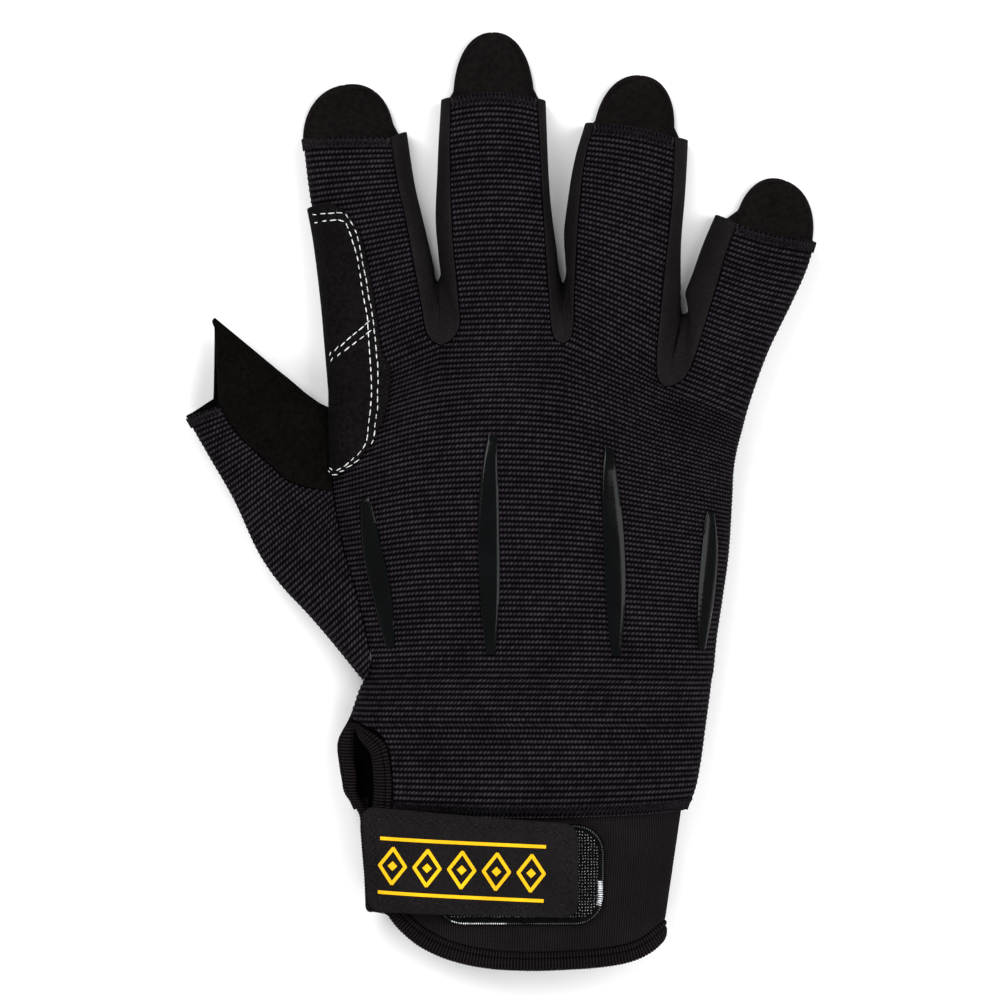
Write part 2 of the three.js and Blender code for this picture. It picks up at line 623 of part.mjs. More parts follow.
// A side wall: a strip from one finger's hem down round the crotch and up to the next finger's hem.
function sideWall(wall) {
  const { first, web, hemRise, rows } = SIDE_WALLS[wall];
  const shift = webAxis(first).multiplyScalar(web);
  const bulge = column(rows, "along", "bulge");
  const stations = [];
  const steps = FINGER_STEPS.slice(1).reverse();
  const edge = (finger, across, along) => ({ finger, across, along });
  steps.forEach((t) => stations.push(edge(first, 1, t)));
  stations.push(edge(first, 1, 0));
  steps.reverse().forEach((t) => stations.push(edge(first + 1, 0, t)));
  const upper = stations.map(({ finger, across, along }) => {
    const place = fingerPlan(finger, across, along);
    return place.setZ(fingerHeight(FINGERS[finger], across, along));
  });
  const AROUND = 6;
  const WALL_BELLY = 0.5;
  const WEB_END = 0.7;
  const RISE_FROM = 0.7;
  const [outer, inner] = [[], []];
  upper.forEach((start, k) => {
    const ahead = upper[Math.min(k + 1, upper.length - 1)];
    const behind = upper[Math.max(k - 1, 0)];
    const run = ahead.clone().sub(behind).setZ(0).normalize();
    const out = vector(-run.y, run.x, 0);
    const share = k < steps.length ? 0.5 - stations[k].along / 2 : 0.5 + stations[k].along / 2;
    const reach = bulge(share) * FINGER_DEPTH;
    const { finger, along } = stations[k];
    const lean = shift.clone().multiplyScalar(webFade(along));
    const rise = hemRise[finger - first] * smooth(along, RISE_FROM, 1);
    for (let a = 0; a <= AROUND; a += 1) {
      const t = a / AROUND;
      const swell = PALM_BULGE_SHARE * smooth(t, 0, 1) + WALL_BELLY * Math.sin(Math.PI * t);
      const place = start.clone()
        .addScaledVector(out, SEAM_GAP + reach * swell)
        .addScaledVector(lean, smooth(t, 0, WEB_END))
        .addScaledVector(FINGERS[finger].axis, rise * Math.sin((Math.PI * t) / 2))
        .setZ(mix(start.z, PALM_EDGE_LIFT, (1 - Math.cos(Math.PI * t)) / 2));
      outer.push(place);
      // Where the web slopes, the wall faces up as far as the slope asks.
      const slide = Math.min(t / WEB_END, 1);
      const fall = (Math.PI / 2) * (start.z - PALM_EDGE_LIFT);
      const slope = (6 * slide * (1 - slide) * lean.dot(out)) / (WEB_END * fall);
      const facing = out.clone().multiplyScalar(Math.sin(Math.PI * t))
        .setZ(Math.cos(Math.PI * t) + slope).normalize();
      inner.push(place.clone().addScaledVector(facing, -SIDE_WALL));
    }
  });
  return closedSheet(outer, inner, gridFaces(stations.length, AROUND + 1, true));
}

// Where a share of the knuckle span lies in X.
const spanX = (share) => knuckles[0].x + knuckleSpan * share;
const gapTowardsThumb = vector(-SEAM_GAP, 0, 0);

// The thumb's guide lines. Each joins a place on the hand to a corner of the thumb's open hem.
const thumbAxis = vector(-Math.sin(radians(THUMB_ANGLE)), Math.cos(radians(THUMB_ANGLE)), 0);
const thumbLateral = vector(thumbAxis.y, -thumbAxis.x, 0);
const thumbBase = backPoint(0, THUMB_FOOT).add(gapTowardsThumb).setZ(SIDE_SEAM_HEIGHT);
const thumbOuterHem = thumbBase.clone().addScaledVector(thumbAxis, THUMB_LENGTH).setZ(FINGER_SEAM_HEIGHT);
const thumbSeamHem = thumbOuterHem.clone().setZ(THUMB_HEM_DEPTH).add(
  vector(Math.cos(radians(THUMB_HEM_ANGLE)), Math.sin(radians(THUMB_HEM_ANGLE)), 0).multiplyScalar(THUMB_HEM),
);
const thumbWebHem = thumbOuterHem.clone().addScaledVector(thumbLateral, THUMB_GIRTH);
const thumbJoin = backPoint(0, THUMB_JOIN).add(gapTowardsThumb);
const webJoin = backPoint(0, WEB_JOIN).add(gapTowardsThumb);
const bowed = (name, from, to) => {
  const bow = column(THUMB_BOWS, "along", name);
  return (t) => from.clone().lerp(to, t).addScaledVector(thumbLateral, bow(t) * THUMB_LENGTH);
};
const thumbOuter = bowed("outer", thumbBase, thumbOuterHem);
const thumbSeam = bowed("seam", thumbJoin, thumbSeamHem);
const thumbWeb = bowed("web", webJoin, thumbWebHem);

// The knit's inner edge on the thumb: up the hand's seam, then along the suede seam.
const HAND_SEAM_SHARE = 0.52;
const FOOT_WIDTH = 0.025;
function thumbKnitEdge(t) {
  if (t < HAND_SEAM_SHARE) {
    return backPoint(0, mix(THUMB_FOOT + FOOT_WIDTH, THUMB_JOIN, t / HAND_SEAM_SHARE)).add(gapTowardsThumb);
  }
  const place = thumbSeam((t - HAND_SEAM_SHARE) / (1 - HAND_SEAM_SHARE));
  return place.addScaledVector(thumbLateral, -SEAM_GAP);
}

function thumbBack() {
  const [ROWS, COLUMNS] = [13, 8];
  const points = gridPoints(ROWS, COLUMNS, (share, t) => {
    const across = spread(share, true, false);
    const [low, high] = [thumbOuter(t), thumbKnitEdge(t)];
    const rise = Math.max(0, mix(THUMB_DEPTH, THUMB_HEM_DEPTH, t) - high.z) * Math.sin(Math.PI * across);
    return low.clone().lerp(high, across).setZ(mix(low.z, high.z, roundShoulder(1 - across)) + rise / 2);
  });
  const level = [...Array(ROWS).keys()].map((row) => row * COLUMNS);
  return evenSheet(points, gridFaces(ROWS, COLUMNS), KNIT, 0, level);
}

// The thumb's suede: from the knit seam on top, over the web line, under, and up to the outer line.
// Past the hem it narrows to a pointed tongue along the web line.
function thumbPalm() {
  const [ROWS, TOP, UNDER, TONGUE] = [8, 4, THUMB_JOIN_STEPS, 4];
  const tip = thumbOuterHem.clone()
    .addScaledVector(thumbAxis, THUMB_TIP)
    .addScaledVector(thumbLateral, THUMB_TIP_LEAN * THUMB_GIRTH)
    .setZ(FINGER_SEAM_HEIGHT + THUMB_TIP_RISE);
  const section = (t) => {
    const [top, web, outer] = [thumbSeam(t), thumbWeb(t), thumbOuter(t)];
    const free = smooth(t, 0, 0.2);
    const row = [];
    for (let a = 0; a <= TOP; a += 1) {
      const turn = ((a / TOP) * Math.PI) / 2;
      const place = top.clone().lerp(web, Math.sin(turn)).setZ(mix(web.z, top.z, Math.cos(turn)));
      const bound = backPoint(0, mix(THUMB_JOIN, WEB_JOIN, a / TOP)).add(gapTowardsThumb);
      row.push(bound.lerp(place, free));
    }
    for (let a = 1; a <= UNDER; a += 1) {
      const across = spread(a / UNDER, true, true);
      const u = 2 * across - 1;
      const side = (u < 0 ? web.z : outer.z) - SEAM_GAP;
      const place = web.clone().lerp(outer, across).setZ(side * (1 - flatFloor(u)));
      const bound = palmPoint(0, thumbJoinPlace(a / UNDER)).add(gapTowardsThumb);
      row.push(bound.lerp(place, free));
    }
    return row;
  };
  const rows = [...Array(ROWS).keys()].map((k) => section(k / (ROWS - 1)));
  const hem = rows.at(-1);
  const reach = hem.map((p) => p.clone().addScaledVector(thumbAxis, SUEDE / 2));
  const root = reach[TOP + Math.round(UNDER * TONGUE_ROOT)];
  const free = reach.map((p, k) => {
    if (k <= TOP) return reach[0].clone().lerp(tip, k / TOP);
    const away = (k - TOP) / (UNDER * TONGUE_ROOT);
    return away < 1 ? tip.clone().lerp(root, away).setZ(mix(tip.z - SUEDE - SEAM_GAP, root.z, away)) : p;
  });
  for (let k = 1; k <= TONGUE; k += 1) rows.push(hem.map((p, a) => p.clone().lerp(free[a], k / TONGUE)));
  const around = TOP + UNDER + 1;
  const level = rows.map((_, k) => (k + 1) * around - 1);
  return evenSheet(rows.flat(), gridFaces(rows.length, around), SUEDE, 0, level);
}

// The index patch lies on the knit, from the side seam to its stitched edge.
function indexPatch() {
  const [ROWS, COLUMNS] = [16, 7];
  const start = column(PATCH_ROWS, "along", "start");
  const reach = column(PATCH_ROWS, "along", "reach");
  const [low, high] = [PATCH_ROWS[0].along, PATCH_ROWS.at(-1).along];
  const indexShare = FINGER_COLUMNS[0] / totalColumns;
  const points = gridPoints(ROWS, COLUMNS, (share, t) => {
    const along = mix(low, high, (1 - Math.cos(Math.PI * t)) / 2);
    return backPoint(indexShare * mix(start(along), reach(along), share), along);
  });
  const level = [...Array(ROWS).keys()].map((row) => row * COLUMNS);
  return evenSheet(points, gridFaces(ROWS, COLUMNS), PATCH, SEAM_GAP + PATCH, level);
}

// One gloss bar of the print on the back of the hand, tapered at both ends.
function glossBar(i) {
  const [ROWS, COLUMNS] = [10, 4];
  const { start, end } = BARS[FINGERS[i].name];
  const middle = (firstColumn[i] + FINGER_COLUMNS[i] / 2) / totalColumns;
  const points = gridPoints(ROWS, COLUMNS, (share, t) => {
    const along = mix(start, end, t);
    const half = (BAR_WIDTH / 2) * Math.sqrt(mix(1, Math.sin(Math.PI * t), BAR_TAPER));
    const step = 0.01;
    const [before, after] = [backPoint(middle - step, along), backPoint(middle + step, along)];
    const perColumn = before.distanceTo(after) / (2 * step);
    return backPoint(middle + ((2 * share - 1) * half) / perColumn, along);
  });
  return evenSheet(points, gridFaces(ROWS, COLUMNS), PRINT, SEAM_GAP + PRINT);
}

// The wrist: its section is the hand's own at the cuff seam, drawn in by an inset and by the taper.
// u runs from -1 on the thumb side to 1, and drop is the distance below the cuff seam.
const wristCentre = spanX((sideLine(0) + littleEdge(0)) / 2);
const wristHalf = (knuckleSpan * (littleEdge(0) - sideLine(0))) / 2;
const wristCrown = backCrown(0) * PALM_DEPTH;
const halfWidth = (drop, inset) => wristHalf - inset - (CUFF_TAPER * Math.max(0, drop)) / CUFF_HEIGHT;
const centreX = (drop) => wristCentre - (CUFF_LEAN * Math.max(0, drop)) / CUFF_HEIGHT;
function wristBack(u, drop, inset) {
  const z = SIDE_SEAM_HEIGHT + (wristCrown - inset - SIDE_SEAM_HEIGHT) * roundShoulder(u);
  return vector(centreX(drop) + halfWidth(drop, inset) * u, CUFF_SEAM_Y - drop, z);
}
function wristPalm(u, drop, inset) {
  const floor = inset * (1 - smooth(drop, 0, 2 * CUFF_LAP));
  const z = floor + (SIDE_SEAM_HEIGHT - SEAM_GAP - floor) * (1 - flatFloor(u));
  return vector(centreX(drop) + halfWidth(drop, inset) * u, CUFF_SEAM_Y - drop, z);
}

// The cuff laps inside the knit and the suede. turn goes once round from the little-finger side (0)
// over the back, or under the palm (negative), and down from its top (0) to its hem (1).
const cuffInset = KNIT + SEAM_GAP;
const hemBack = column(CUFF_HEM, "across", "back");
const hemPalm = column(CUFF_HEM, "across", "palm");
function cuffPoint(turn, down) {
  const u = Math.cos(turn);
  const over = Math.sin(turn) > 1e-6;
  const drop = mix(-CUFF_LAP, CUFF_HEIGHT * (over ? hemBack(u) : hemPalm(u)), down);
  return over ? wristBack(u, drop, cuffInset) : wristPalm(u, drop, cuffInset);
}
const openTurn = Math.acos((spanX(backEdge(0)) - wristCentre) / wristHalf);

function cuff() {
  const [ROWS, COLUMNS] = [7, CUFF_STEPS + 1];
  const points = gridPoints(ROWS, COLUMNS, (share, t) => cuffPoint(mix(openTurn, -Math.PI, share), t));
  const level = [...Array(ROWS).keys()].map((row) => (row + 1) * COLUMNS - 1);
  return evenSheet(points, gridFaces(ROWS, COLUMNS, true), CUFF_WALL, 0, level);
}

// A flat piece on the back of the cuff, between two places in X, with rounded corners.
function cuffCover({ startX, endX, top, bottom, corner, inset, thickness }) {
  const [ROWS, COLUMNS] = [6, 13];
  const points = gridPoints(ROWS, COLUMNS, (share, t) => {
    const length = endX - startX(0);
    const along = ((1 - Math.cos(Math.PI * share)) / 2) * length;
    const fromEnd = Math.min(along, length - along);
    const pull = fromEnd < corner ? corner * (1 - Math.sqrt(1 - Math.pow(1 - fromEnd / corner, 2))) : 0;
    const drop = mix(top(along) + pull, bottom(along) - pull, t);
    const x = mix(startX(drop), endX, along / length);
    return wristBack((x - centreX(drop)) / halfWidth(drop, inset), drop, inset);
  });
  return evenSheet(points, gridFaces(ROWS, COLUMNS, true), thickness);
}

// The strap starts just above the binding on the palm side of the slit.
const strapInset = -STRAP_CLEAR - STRAP_THICKNESS;
const strapFoot = BINDING_WIDTH + 2 * SEAM_GAP + STRAP_CLEAR + STRAP_THICKNESS;
const strapRise = strapFoot / (wristCrown - strapInset - SIDE_SEAM_HEIGHT);
const strapStartU = -Math.pow(1 - Math.pow(strapRise, 1 / SHOULDER_POWER), 1 / SHOULDER_BEND);
const strapStartX = (drop) => centreX(drop) + strapStartU * halfWidth(drop, strapInset);
const strapEndX = strapStartX(0) + STRAP_LENGTH;

function strap() {
  const slope = Math.tan(radians(STRAP_SLOPE));
  return cuffCover({
    startX: strapStartX,
    endX: strapEndX,
    top: (along) => along * slope - STRAP_OVER_SEAM,
    bottom: (along) => STRAP_WIDTH + (STRAP_FLARE * along) / STRAP_LENGTH,
    corner: STRAP_CORNER,
    inset: strapInset,
    thickness: STRAP_THICKNESS,
  });
}

function closurePad() {
  const endX = strapEndX + CLOSURE_PAST_STRAP;
  return cuffCover({
    startX: () => endX - CLOSURE_LENGTH,
    endX,
    top: () => CLOSURE_DROP,
    bottom: () => CLOSURE_DROP + CLOSURE_WIDTH,
    corner: 2 * STRAP_CORNER,
    inset: cuffInset - SEAM_GAP - CLOSURE_THICKNESS,
    thickness: CLOSURE_THICKNESS,
  });
}

// A closed tape: a flat eight-sided section carried along a ring of places, each with the way its
// width runs, the way its face looks, how far it starts from the place and a share of the full width.
function closedTape(stations) {
  const upperCorners = [[0, 0.3], [0.14, 0.5], [0.86, 0.5], [1, 0.3]];
  const lowerCorners = upperCorners.map(([w, h]) => [w, -h]).reverse();
  const corners = [...upperCorners, ...lowerCorners];
  const points = [];
  for (const { place, out, up, clear, size } of stations) {
    for (const [w, h] of corners) {
      points.push(place.clone()
        .addScaledVector(out, w * BINDING_WIDTH * size + clear)
        .addScaledVector(up, h * BINDING_THICKNESS * size));
    }
  }
  const triangles = [];
  const n = corners.length;
  stations.forEach((_, r) => {
    const next = (r + 1) % stations.length;
    for (let c = 0; c < n; c += 1) {
      const d = (c + 1) % n;
      triangles.push(r * n + c, r * n + d, next * n + d, r * n + c, next * n + d, next * n + c);
    }
  });
  const geometry = new THREE.BufferGeometry();
  geometry.setAttribute("position", new THREE.Float32BufferAttribute(points.flatMap((p) => p.toArray()), 3));
  geometry.setIndex(triangles);
  geometry.computeVertexNormals();
  return geometry;
}

// The bound edge: round the hem, up the palm side of the slit, over the vent, and back down.
function edgeBinding() {
  const stations = [];
  const add = (place, out, face, wall, clear = SEAM_GAP, size = 1) => {
    const o = out.clone().normalize();
    const up = face.clone().addScaledVector(o, -face.dot(o)).normalize();
    stations.push({ place: place.clone().addScaledVector(up, -wall / 2), out: o, up, clear, size });
  };
  const STEP = 0.02;
  const around = (turn, down) => cuffPoint(Math.min(turn + STEP, openTurn), down)
    .sub(cuffPoint(Math.max(turn - STEP, -Math.PI), down)).normalize();
  const faceAt = (turn, down) => around(turn, down).setY(0).cross(vector(0, -1, 0)).normalize();
  for (let k = 0; k <= CUFF_STEPS; k += 1) {
    const turn = mix(openTurn, -Math.PI, k / CUFF_STEPS);
    const run = around(turn, 1);
    const out = vector(0, -1, 0).addScaledVector(run, run.y);
    const wall = mix(CUFF_WALL, BINDING_THICKNESS, smooth(-Math.sin(turn), 0, 0.3));
    add(cuffPoint(turn, 1), out, faceAt(turn, 1), wall);
  }
  const SLIT_STEPS = 5;
  const thumbSide = vector(-1, 0, 0);
  add(cuffPoint(-Math.PI, 1), vector(0, -0.7, 0.7), thumbSide, CUFF_WALL);
  for (let k = SLIT_STEPS; k >= 1; k -= 1) {
    add(cuffPoint(-Math.PI, k / (SLIT_STEPS + 1)), vector(0, 0, 1), thumbSide, CUFF_WALL);
  }
  const VENT_STEPS = 5;
  const VENT_LEAN = 0.6;
  const VENT_NARROWING = 0.7;
  for (let k = 1; k <= VENT_STEPS; k += 1) {
    const lean = VENT_LEAN * smooth(k, 0, 2);
    const size = k === VENT_STEPS ? VENT_NARROWING : 1;
    const clear = SEAM_GAP + (lean * BINDING_THICKNESS * size) / 2;
    const place = palmPoint(0, (VENT_TOP * k) / VENT_STEPS);
    add(place, vector(lean, 0, 1), vector(-1, 0, lean), SUEDE, clear, size);
  }
  const [palmTop, backTop] = [palmPoint(0, VENT_TOP), backPoint(0, VENT_TOP)];
  add(palmTop.lerp(backTop, 0.5), vector(0, -1, 0), vector(-VENT_LEAN, 0, 0.8), KNIT, 0, VENT_LEAN);
  const INWARDS = 0.02;
  for (let k = VENT_STEPS; k >= 0; k -= 1) {
    const along = (VENT_TOP * k) / VENT_STEPS;
    const place = backPoint(0, along);
    const ahead = backPoint(0, along + INWARDS).sub(backPoint(0, Math.max(0, along - INWARDS))).normalize();
    const outwards = place.clone().sub(backPoint(INWARDS, along)).normalize();
    const out = outwards.addScaledVector(ahead, -outwards.dot(ahead));
    const size = k === VENT_STEPS ? VENT_NARROWING : 1;
    add(place, out, ahead.cross(out), BINDING_THICKNESS, 2 * SEAM_GAP, size);
  }
  for (let k = 1; k <= SLIT_STEPS; k += 1) {
    const out = around(openTurn, 0.5).setY(0);
    add(cuffPoint(openTurn, k / (SLIT_STEPS + 1)), out, faceAt(openTurn, 0.5), CUFF_WALL);
  }
  return closedTape(stations);
}

// Finishes
const knitCloth = new THREE.MeshStandardMaterial({ color: 0x1a171b, roughness: 0.92, metalness: 0 });
const suede = new THREE.MeshStandardMaterial({ color: 0x151313, roughness: 0.95, metalness: 0 });
const wallCloth = new THREE.MeshStandardMaterial({ color: 0x171515, roughness: 0.9, metalness: 0 });
const cuffCloth = new THREE.MeshStandardMaterial({ color: 0x191617, roughness: 0.9, metalness: 0 });
const tape = new THREE.MeshStandardMaterial({ color: 0x171415, roughness: 0.88, metalness: 0 });
const strapCloth = new THREE.MeshStandardMaterial({ color: 0x191718, roughness: 0.9, metalness: 0 });
const hookFilm = new THREE.MeshStandardMaterial({ color: 0x0c0d10, roughness: 0.35, metalness: 0 });
const glossFilm = new THREE.MeshStandardMaterial({ color: 0x0b0b0d, roughness: 0.15, metalness: 0 });

function piece(name, geometry, material) {
  const mesh = new THREE.Mesh(geometry, material);
  mesh.name = name;
  return mesh;
}

const glove = new THREE.Group();
glove.add(piece("hand_back", handBack(), knitCloth));
glove.add(piece("palm", palm(), suede));
SIDE_WALLS.forEach((wall, i) => glove.add(piece(wall.name, sideWall(i), wallCloth)));
glove.add(piece("thumb_back", thumbBack(), knitCloth));
glove.add(piece("thumb_palm", thumbPalm(), suede));
glove.add(piece("index_patch", indexPatch(), suede));
FINGERS.forEach((finger, i) => glove.add(piece("gloss_bar_" + finger.name, glossBar(i), glossFilm)));
glove.add(piece("cuff", cuff(), cuffCloth));
glove.add(piece("edge_binding", edgeBinding(), tape));
glove.add(piece("closure_pad", closurePad(), hookFilm));
glove.add(piece("strap", strap(), strapCloth));

export default glove;
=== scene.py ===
"""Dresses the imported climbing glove: ribbed knit, suede, side walls, bound edges, strap and stitching.

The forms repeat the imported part's own functions in millimetres, on finer grids, and every finished
piece is a mesh in metres in the part's frame. The glove lies palm down, fingers to +Y, thumb to -X.
"""
from __future__ import annotations

import logging
import math
from dataclasses import dataclass, field
from enum import Enum
from functools import cached_property
from typing import Callable, Mapping, Sequence

import bpy
import numpy as np
from mathutils import Matrix, Vector
from mathutils.bvhtree import BVHTree

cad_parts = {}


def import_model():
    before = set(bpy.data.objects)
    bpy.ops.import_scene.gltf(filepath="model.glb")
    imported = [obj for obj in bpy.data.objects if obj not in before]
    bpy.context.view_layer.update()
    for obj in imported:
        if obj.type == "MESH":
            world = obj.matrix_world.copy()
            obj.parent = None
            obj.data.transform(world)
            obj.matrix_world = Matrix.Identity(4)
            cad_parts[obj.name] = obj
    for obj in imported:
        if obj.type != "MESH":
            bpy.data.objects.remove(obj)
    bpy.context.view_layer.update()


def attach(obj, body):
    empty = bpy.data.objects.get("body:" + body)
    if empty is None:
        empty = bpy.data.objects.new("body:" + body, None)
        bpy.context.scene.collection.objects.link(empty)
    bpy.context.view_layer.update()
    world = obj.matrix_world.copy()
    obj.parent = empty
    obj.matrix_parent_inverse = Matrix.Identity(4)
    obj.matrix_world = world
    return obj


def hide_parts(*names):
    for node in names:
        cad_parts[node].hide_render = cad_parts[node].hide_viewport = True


LOG = logging.getLogger("glove")
MM = 0.001
BODY = "root"
SEED = 7

Array = np.ndarray
Colour = tuple[float, float, float]
Surface = Callable[[Array, Array], Array]
Mesh = bpy.types.Mesh
Material = bpy.types.Material
Piece = bpy.types.Object
Socket = bpy.types.NodeSocket
Outputs = bpy.types.NodeOutputs
Tree = bpy.types.NodeTree
Node = bpy.types.Node


def mix(start: Array | float, end: Array | float, share: Array | float) -> Array | float:
    """Returns the value a share of the way from start to end."""
    return start + (end - start) * share


def smooth(value: Array | float, low: float, high: float) -> Array:
    """Returns a smooth step from 0 at low to 1 at high."""
    share = np.clip((np.asarray(value, float) - low) / (high - low), 0, 1)
    return share * share * (3 - 2 * share)


def unit(vectors: Array) -> Array:
    """Returns the vectors scaled to length one."""
    return vectors / np.maximum(np.linalg.norm(vectors, axis=-1, keepdims=True), 1e-12)


def together(*values: Array | float) -> Sequence[Array]:
    """Returns the values as arrays of one shape."""
    return np.broadcast_arrays(*(np.asarray(value, float) for value in values))


def square_to(vectors: Array, normals: Array) -> Array:
    """Returns the vectors made square to the normals, with length one."""
    return unit(vectors - normals * np.sum(vectors * normals, axis=-1, keepdims=True))


def left_of(ahead: Array) -> Array:
    """Returns the plan direction to the left of each direction."""
    return np.stack([-ahead[:, 1], ahead[:, 0]], axis=1)


def run_along(path: Array) -> Array:
    """Returns how far each point of a path lies along it."""
    return np.append(0, np.cumsum(np.linalg.norm(np.diff(path, axis=0), axis=1)))


def spread(share: Array, low: Array | bool, high: Array | bool) -> Array:
    """Returns columns spread evenly, or closer together towards a rounded end.

    Args:
        share: Even places from 0 to 1.
        low: Whether the start is rounded.
        high: Whether the end is rounded.

    Returns:
        The spread places, from 0 to 1.
    """
    share = np.asarray(share, float)
    low, high = np.asarray(low), np.asarray(high)
    one_end = np.where(low, 1 - np.cos(np.pi * share / 2), np.where(high, np.sin(np.pi * share / 2), share))
    eased = np.where(low & high, (1 - np.cos(np.pi * share)) / 2, one_end)
    return mix(share, eased, 0.8)


@dataclass(frozen=True)
class Line:
    """A smooth line through the rows of a short table, held at both ends."""

    keys: tuple[float, ...]
    values: tuple[float, ...]

    def __call__(self, where: Array | float) -> Array:
        """Returns the line's values at the given places."""
        keys, values = np.array(self.keys), np.array(self.values)
        where = np.asarray(where, float)
        i = np.searchsorted(keys[1:-1], where, side="left")
        before, after = np.maximum(i - 1, 0), np.minimum(i + 2, len(keys) - 1)
        span = keys[i + 1] - keys[i]
        share = np.clip((where - keys[i]) / span, 0, 1)
        start = (values[i + 1] - values[before]) / (keys[i + 1] - keys[before]) * span
        end = (values[after] - values[i]) / (keys[after] - keys[i]) * span
        square, cube = share**2, share**3
        bend = (cube - 2 * square + share) * start + (cube - square) * end
        return mix(values[i], values[i + 1], 3 * square - 2 * cube) + bend


SHOULDER_BEND = 3
SHOULDER_POWER = 0.45
FLOOR_FLAT = 0.3
FLOOR_BEND = 4.8


def round_shoulder(u: Array) -> Array:
    """Returns a full round section's height: 1 at the crown and 0 at u = -1 and 1."""
    return np.maximum(0, 1 - np.abs(u) ** SHOULDER_BEND) ** SHOULDER_POWER


def soft_shoulder(u: Array) -> Array:
    """Returns a softly crowned section's height: 1 at the crown and 0 at u = -1 and 1."""
    return np.maximum(0, 1 - np.abs(u) ** 2.4)


def flat_floor(u: Array) -> Array:
    """Returns 1 across a flat floor, falling to 0 at u = -1 and 1."""
    beyond = np.maximum(0, np.abs(u) - FLOOR_FLAT) / (1 - FLOOR_FLAT)
    return np.sqrt(np.maximum(0, 1 - beyond**FLOOR_BEND))


@dataclass(frozen=True)
class Walls:
    """Wall thicknesses and clearances, in millimetres."""

    knit: float = 1.3
    suede: float = 1.2
    side: float = 1.0
    cuff: float = 2.0
    patch: float = 1.0
    film: float = 0.5
    strap: float = 2.0
    pad: float = 1.0
    gap: float = 0.35
    cuff_lap: float = 3.0
    strap_clear: float = 0.8


@dataclass(frozen=True)
class Finger:
    """One finger's size: its knuckle stretch, tube, open hem and suede tongue, in millimetres."""

    name: str
    root: float
    slope: float
    tilt: float
    length: float
    tip: float
    tip_width: float
    lean: float
    skew: float
    arch: float
    keys: tuple[float, ...]
    left: tuple[float, ...]
    right: tuple[float, ...]


FINGERS = (
    Finger(
        "index", 29.2, 22.9, -9.7, 58.8, 14.0, 23.3, 1.2, -0.031, 0.0,
        (0, 0.03, 0.08, 0.2, 0.35, 0.6, 0.78, 1),
        (-0.5, -0.494, -0.484, -0.462, -0.436, -0.41, -0.415, -0.392),
        (0.5, 0.428, 0.387, 0.384, 0.382, 0.376, 0.36, 0.368),
    ),
    Finger(
        "middle", 30.5, 0.9, -1.9, 61.9, 17.4, 20.4, 0.2, -0.008, 0.022,
        (0, 0.02, 0.08, 0.2, 0.45, 0.75, 1),
        (-0.5, -0.41, -0.333, -0.338, -0.366, -0.366, -0.348),
        (0.5, 0.43, 0.4, 0.39, 0.372, 0.358, 0.352),
    ),
    Finger(
        "ring", 27.7, -22.9, 5.0, 59.2, 14.7, 20.2, 0.6, -0.015, 0.01,
        (0, 0.02, 0.08, 0.2, 0.45, 0.72, 0.86, 1),
        (-0.5, -0.44, -0.41, -0.424, -0.444, -0.45, -0.43, -0.382),
        (0.5, 0.43, 0.39, 0.38, 0.388, 0.402, 0.394, 0.378),
    ),
    Finger(
        "little", 21.6, -22.4, 22.2, 46.6, 13.6, 20.4, -2.0, 0.038, -0.018,
        (0, 0.03, 0.09, 0.2, 0.4, 0.65, 0.85, 1),
        (-0.5, -0.41, -0.33, -0.31, -0.34, -0.39, -0.432, -0.446),
        (0.5, 0.49, 0.478, 0.462, 0.455, 0.492, 0.508, 0.478),
    ),
)
FIRST, LAST = 0, len(FINGERS) - 1
COLUMNS = (7, 7, 7, 6)
BACK_ROWS = (0, 0.05, 0.1, 0.15, 0.18, 0.2, 0.24, 0.285, 0.31, 0.38, 0.49, 0.6, 0.74, 0.86, 1)
PALM_ROWS = (0, 0.05, 0.1, 0.15, 0.2, 0.285, 0.31, 0.38, 0.5, 0.65, 0.8, 0.9, 0.96, 1)


def xyz(x: Array, y: Array, z: Array) -> Array:
    """Returns points from their three coordinates, broadcast together."""
    return np.stack(np.broadcast_arrays(x, y, z), axis=-1).astype(float)


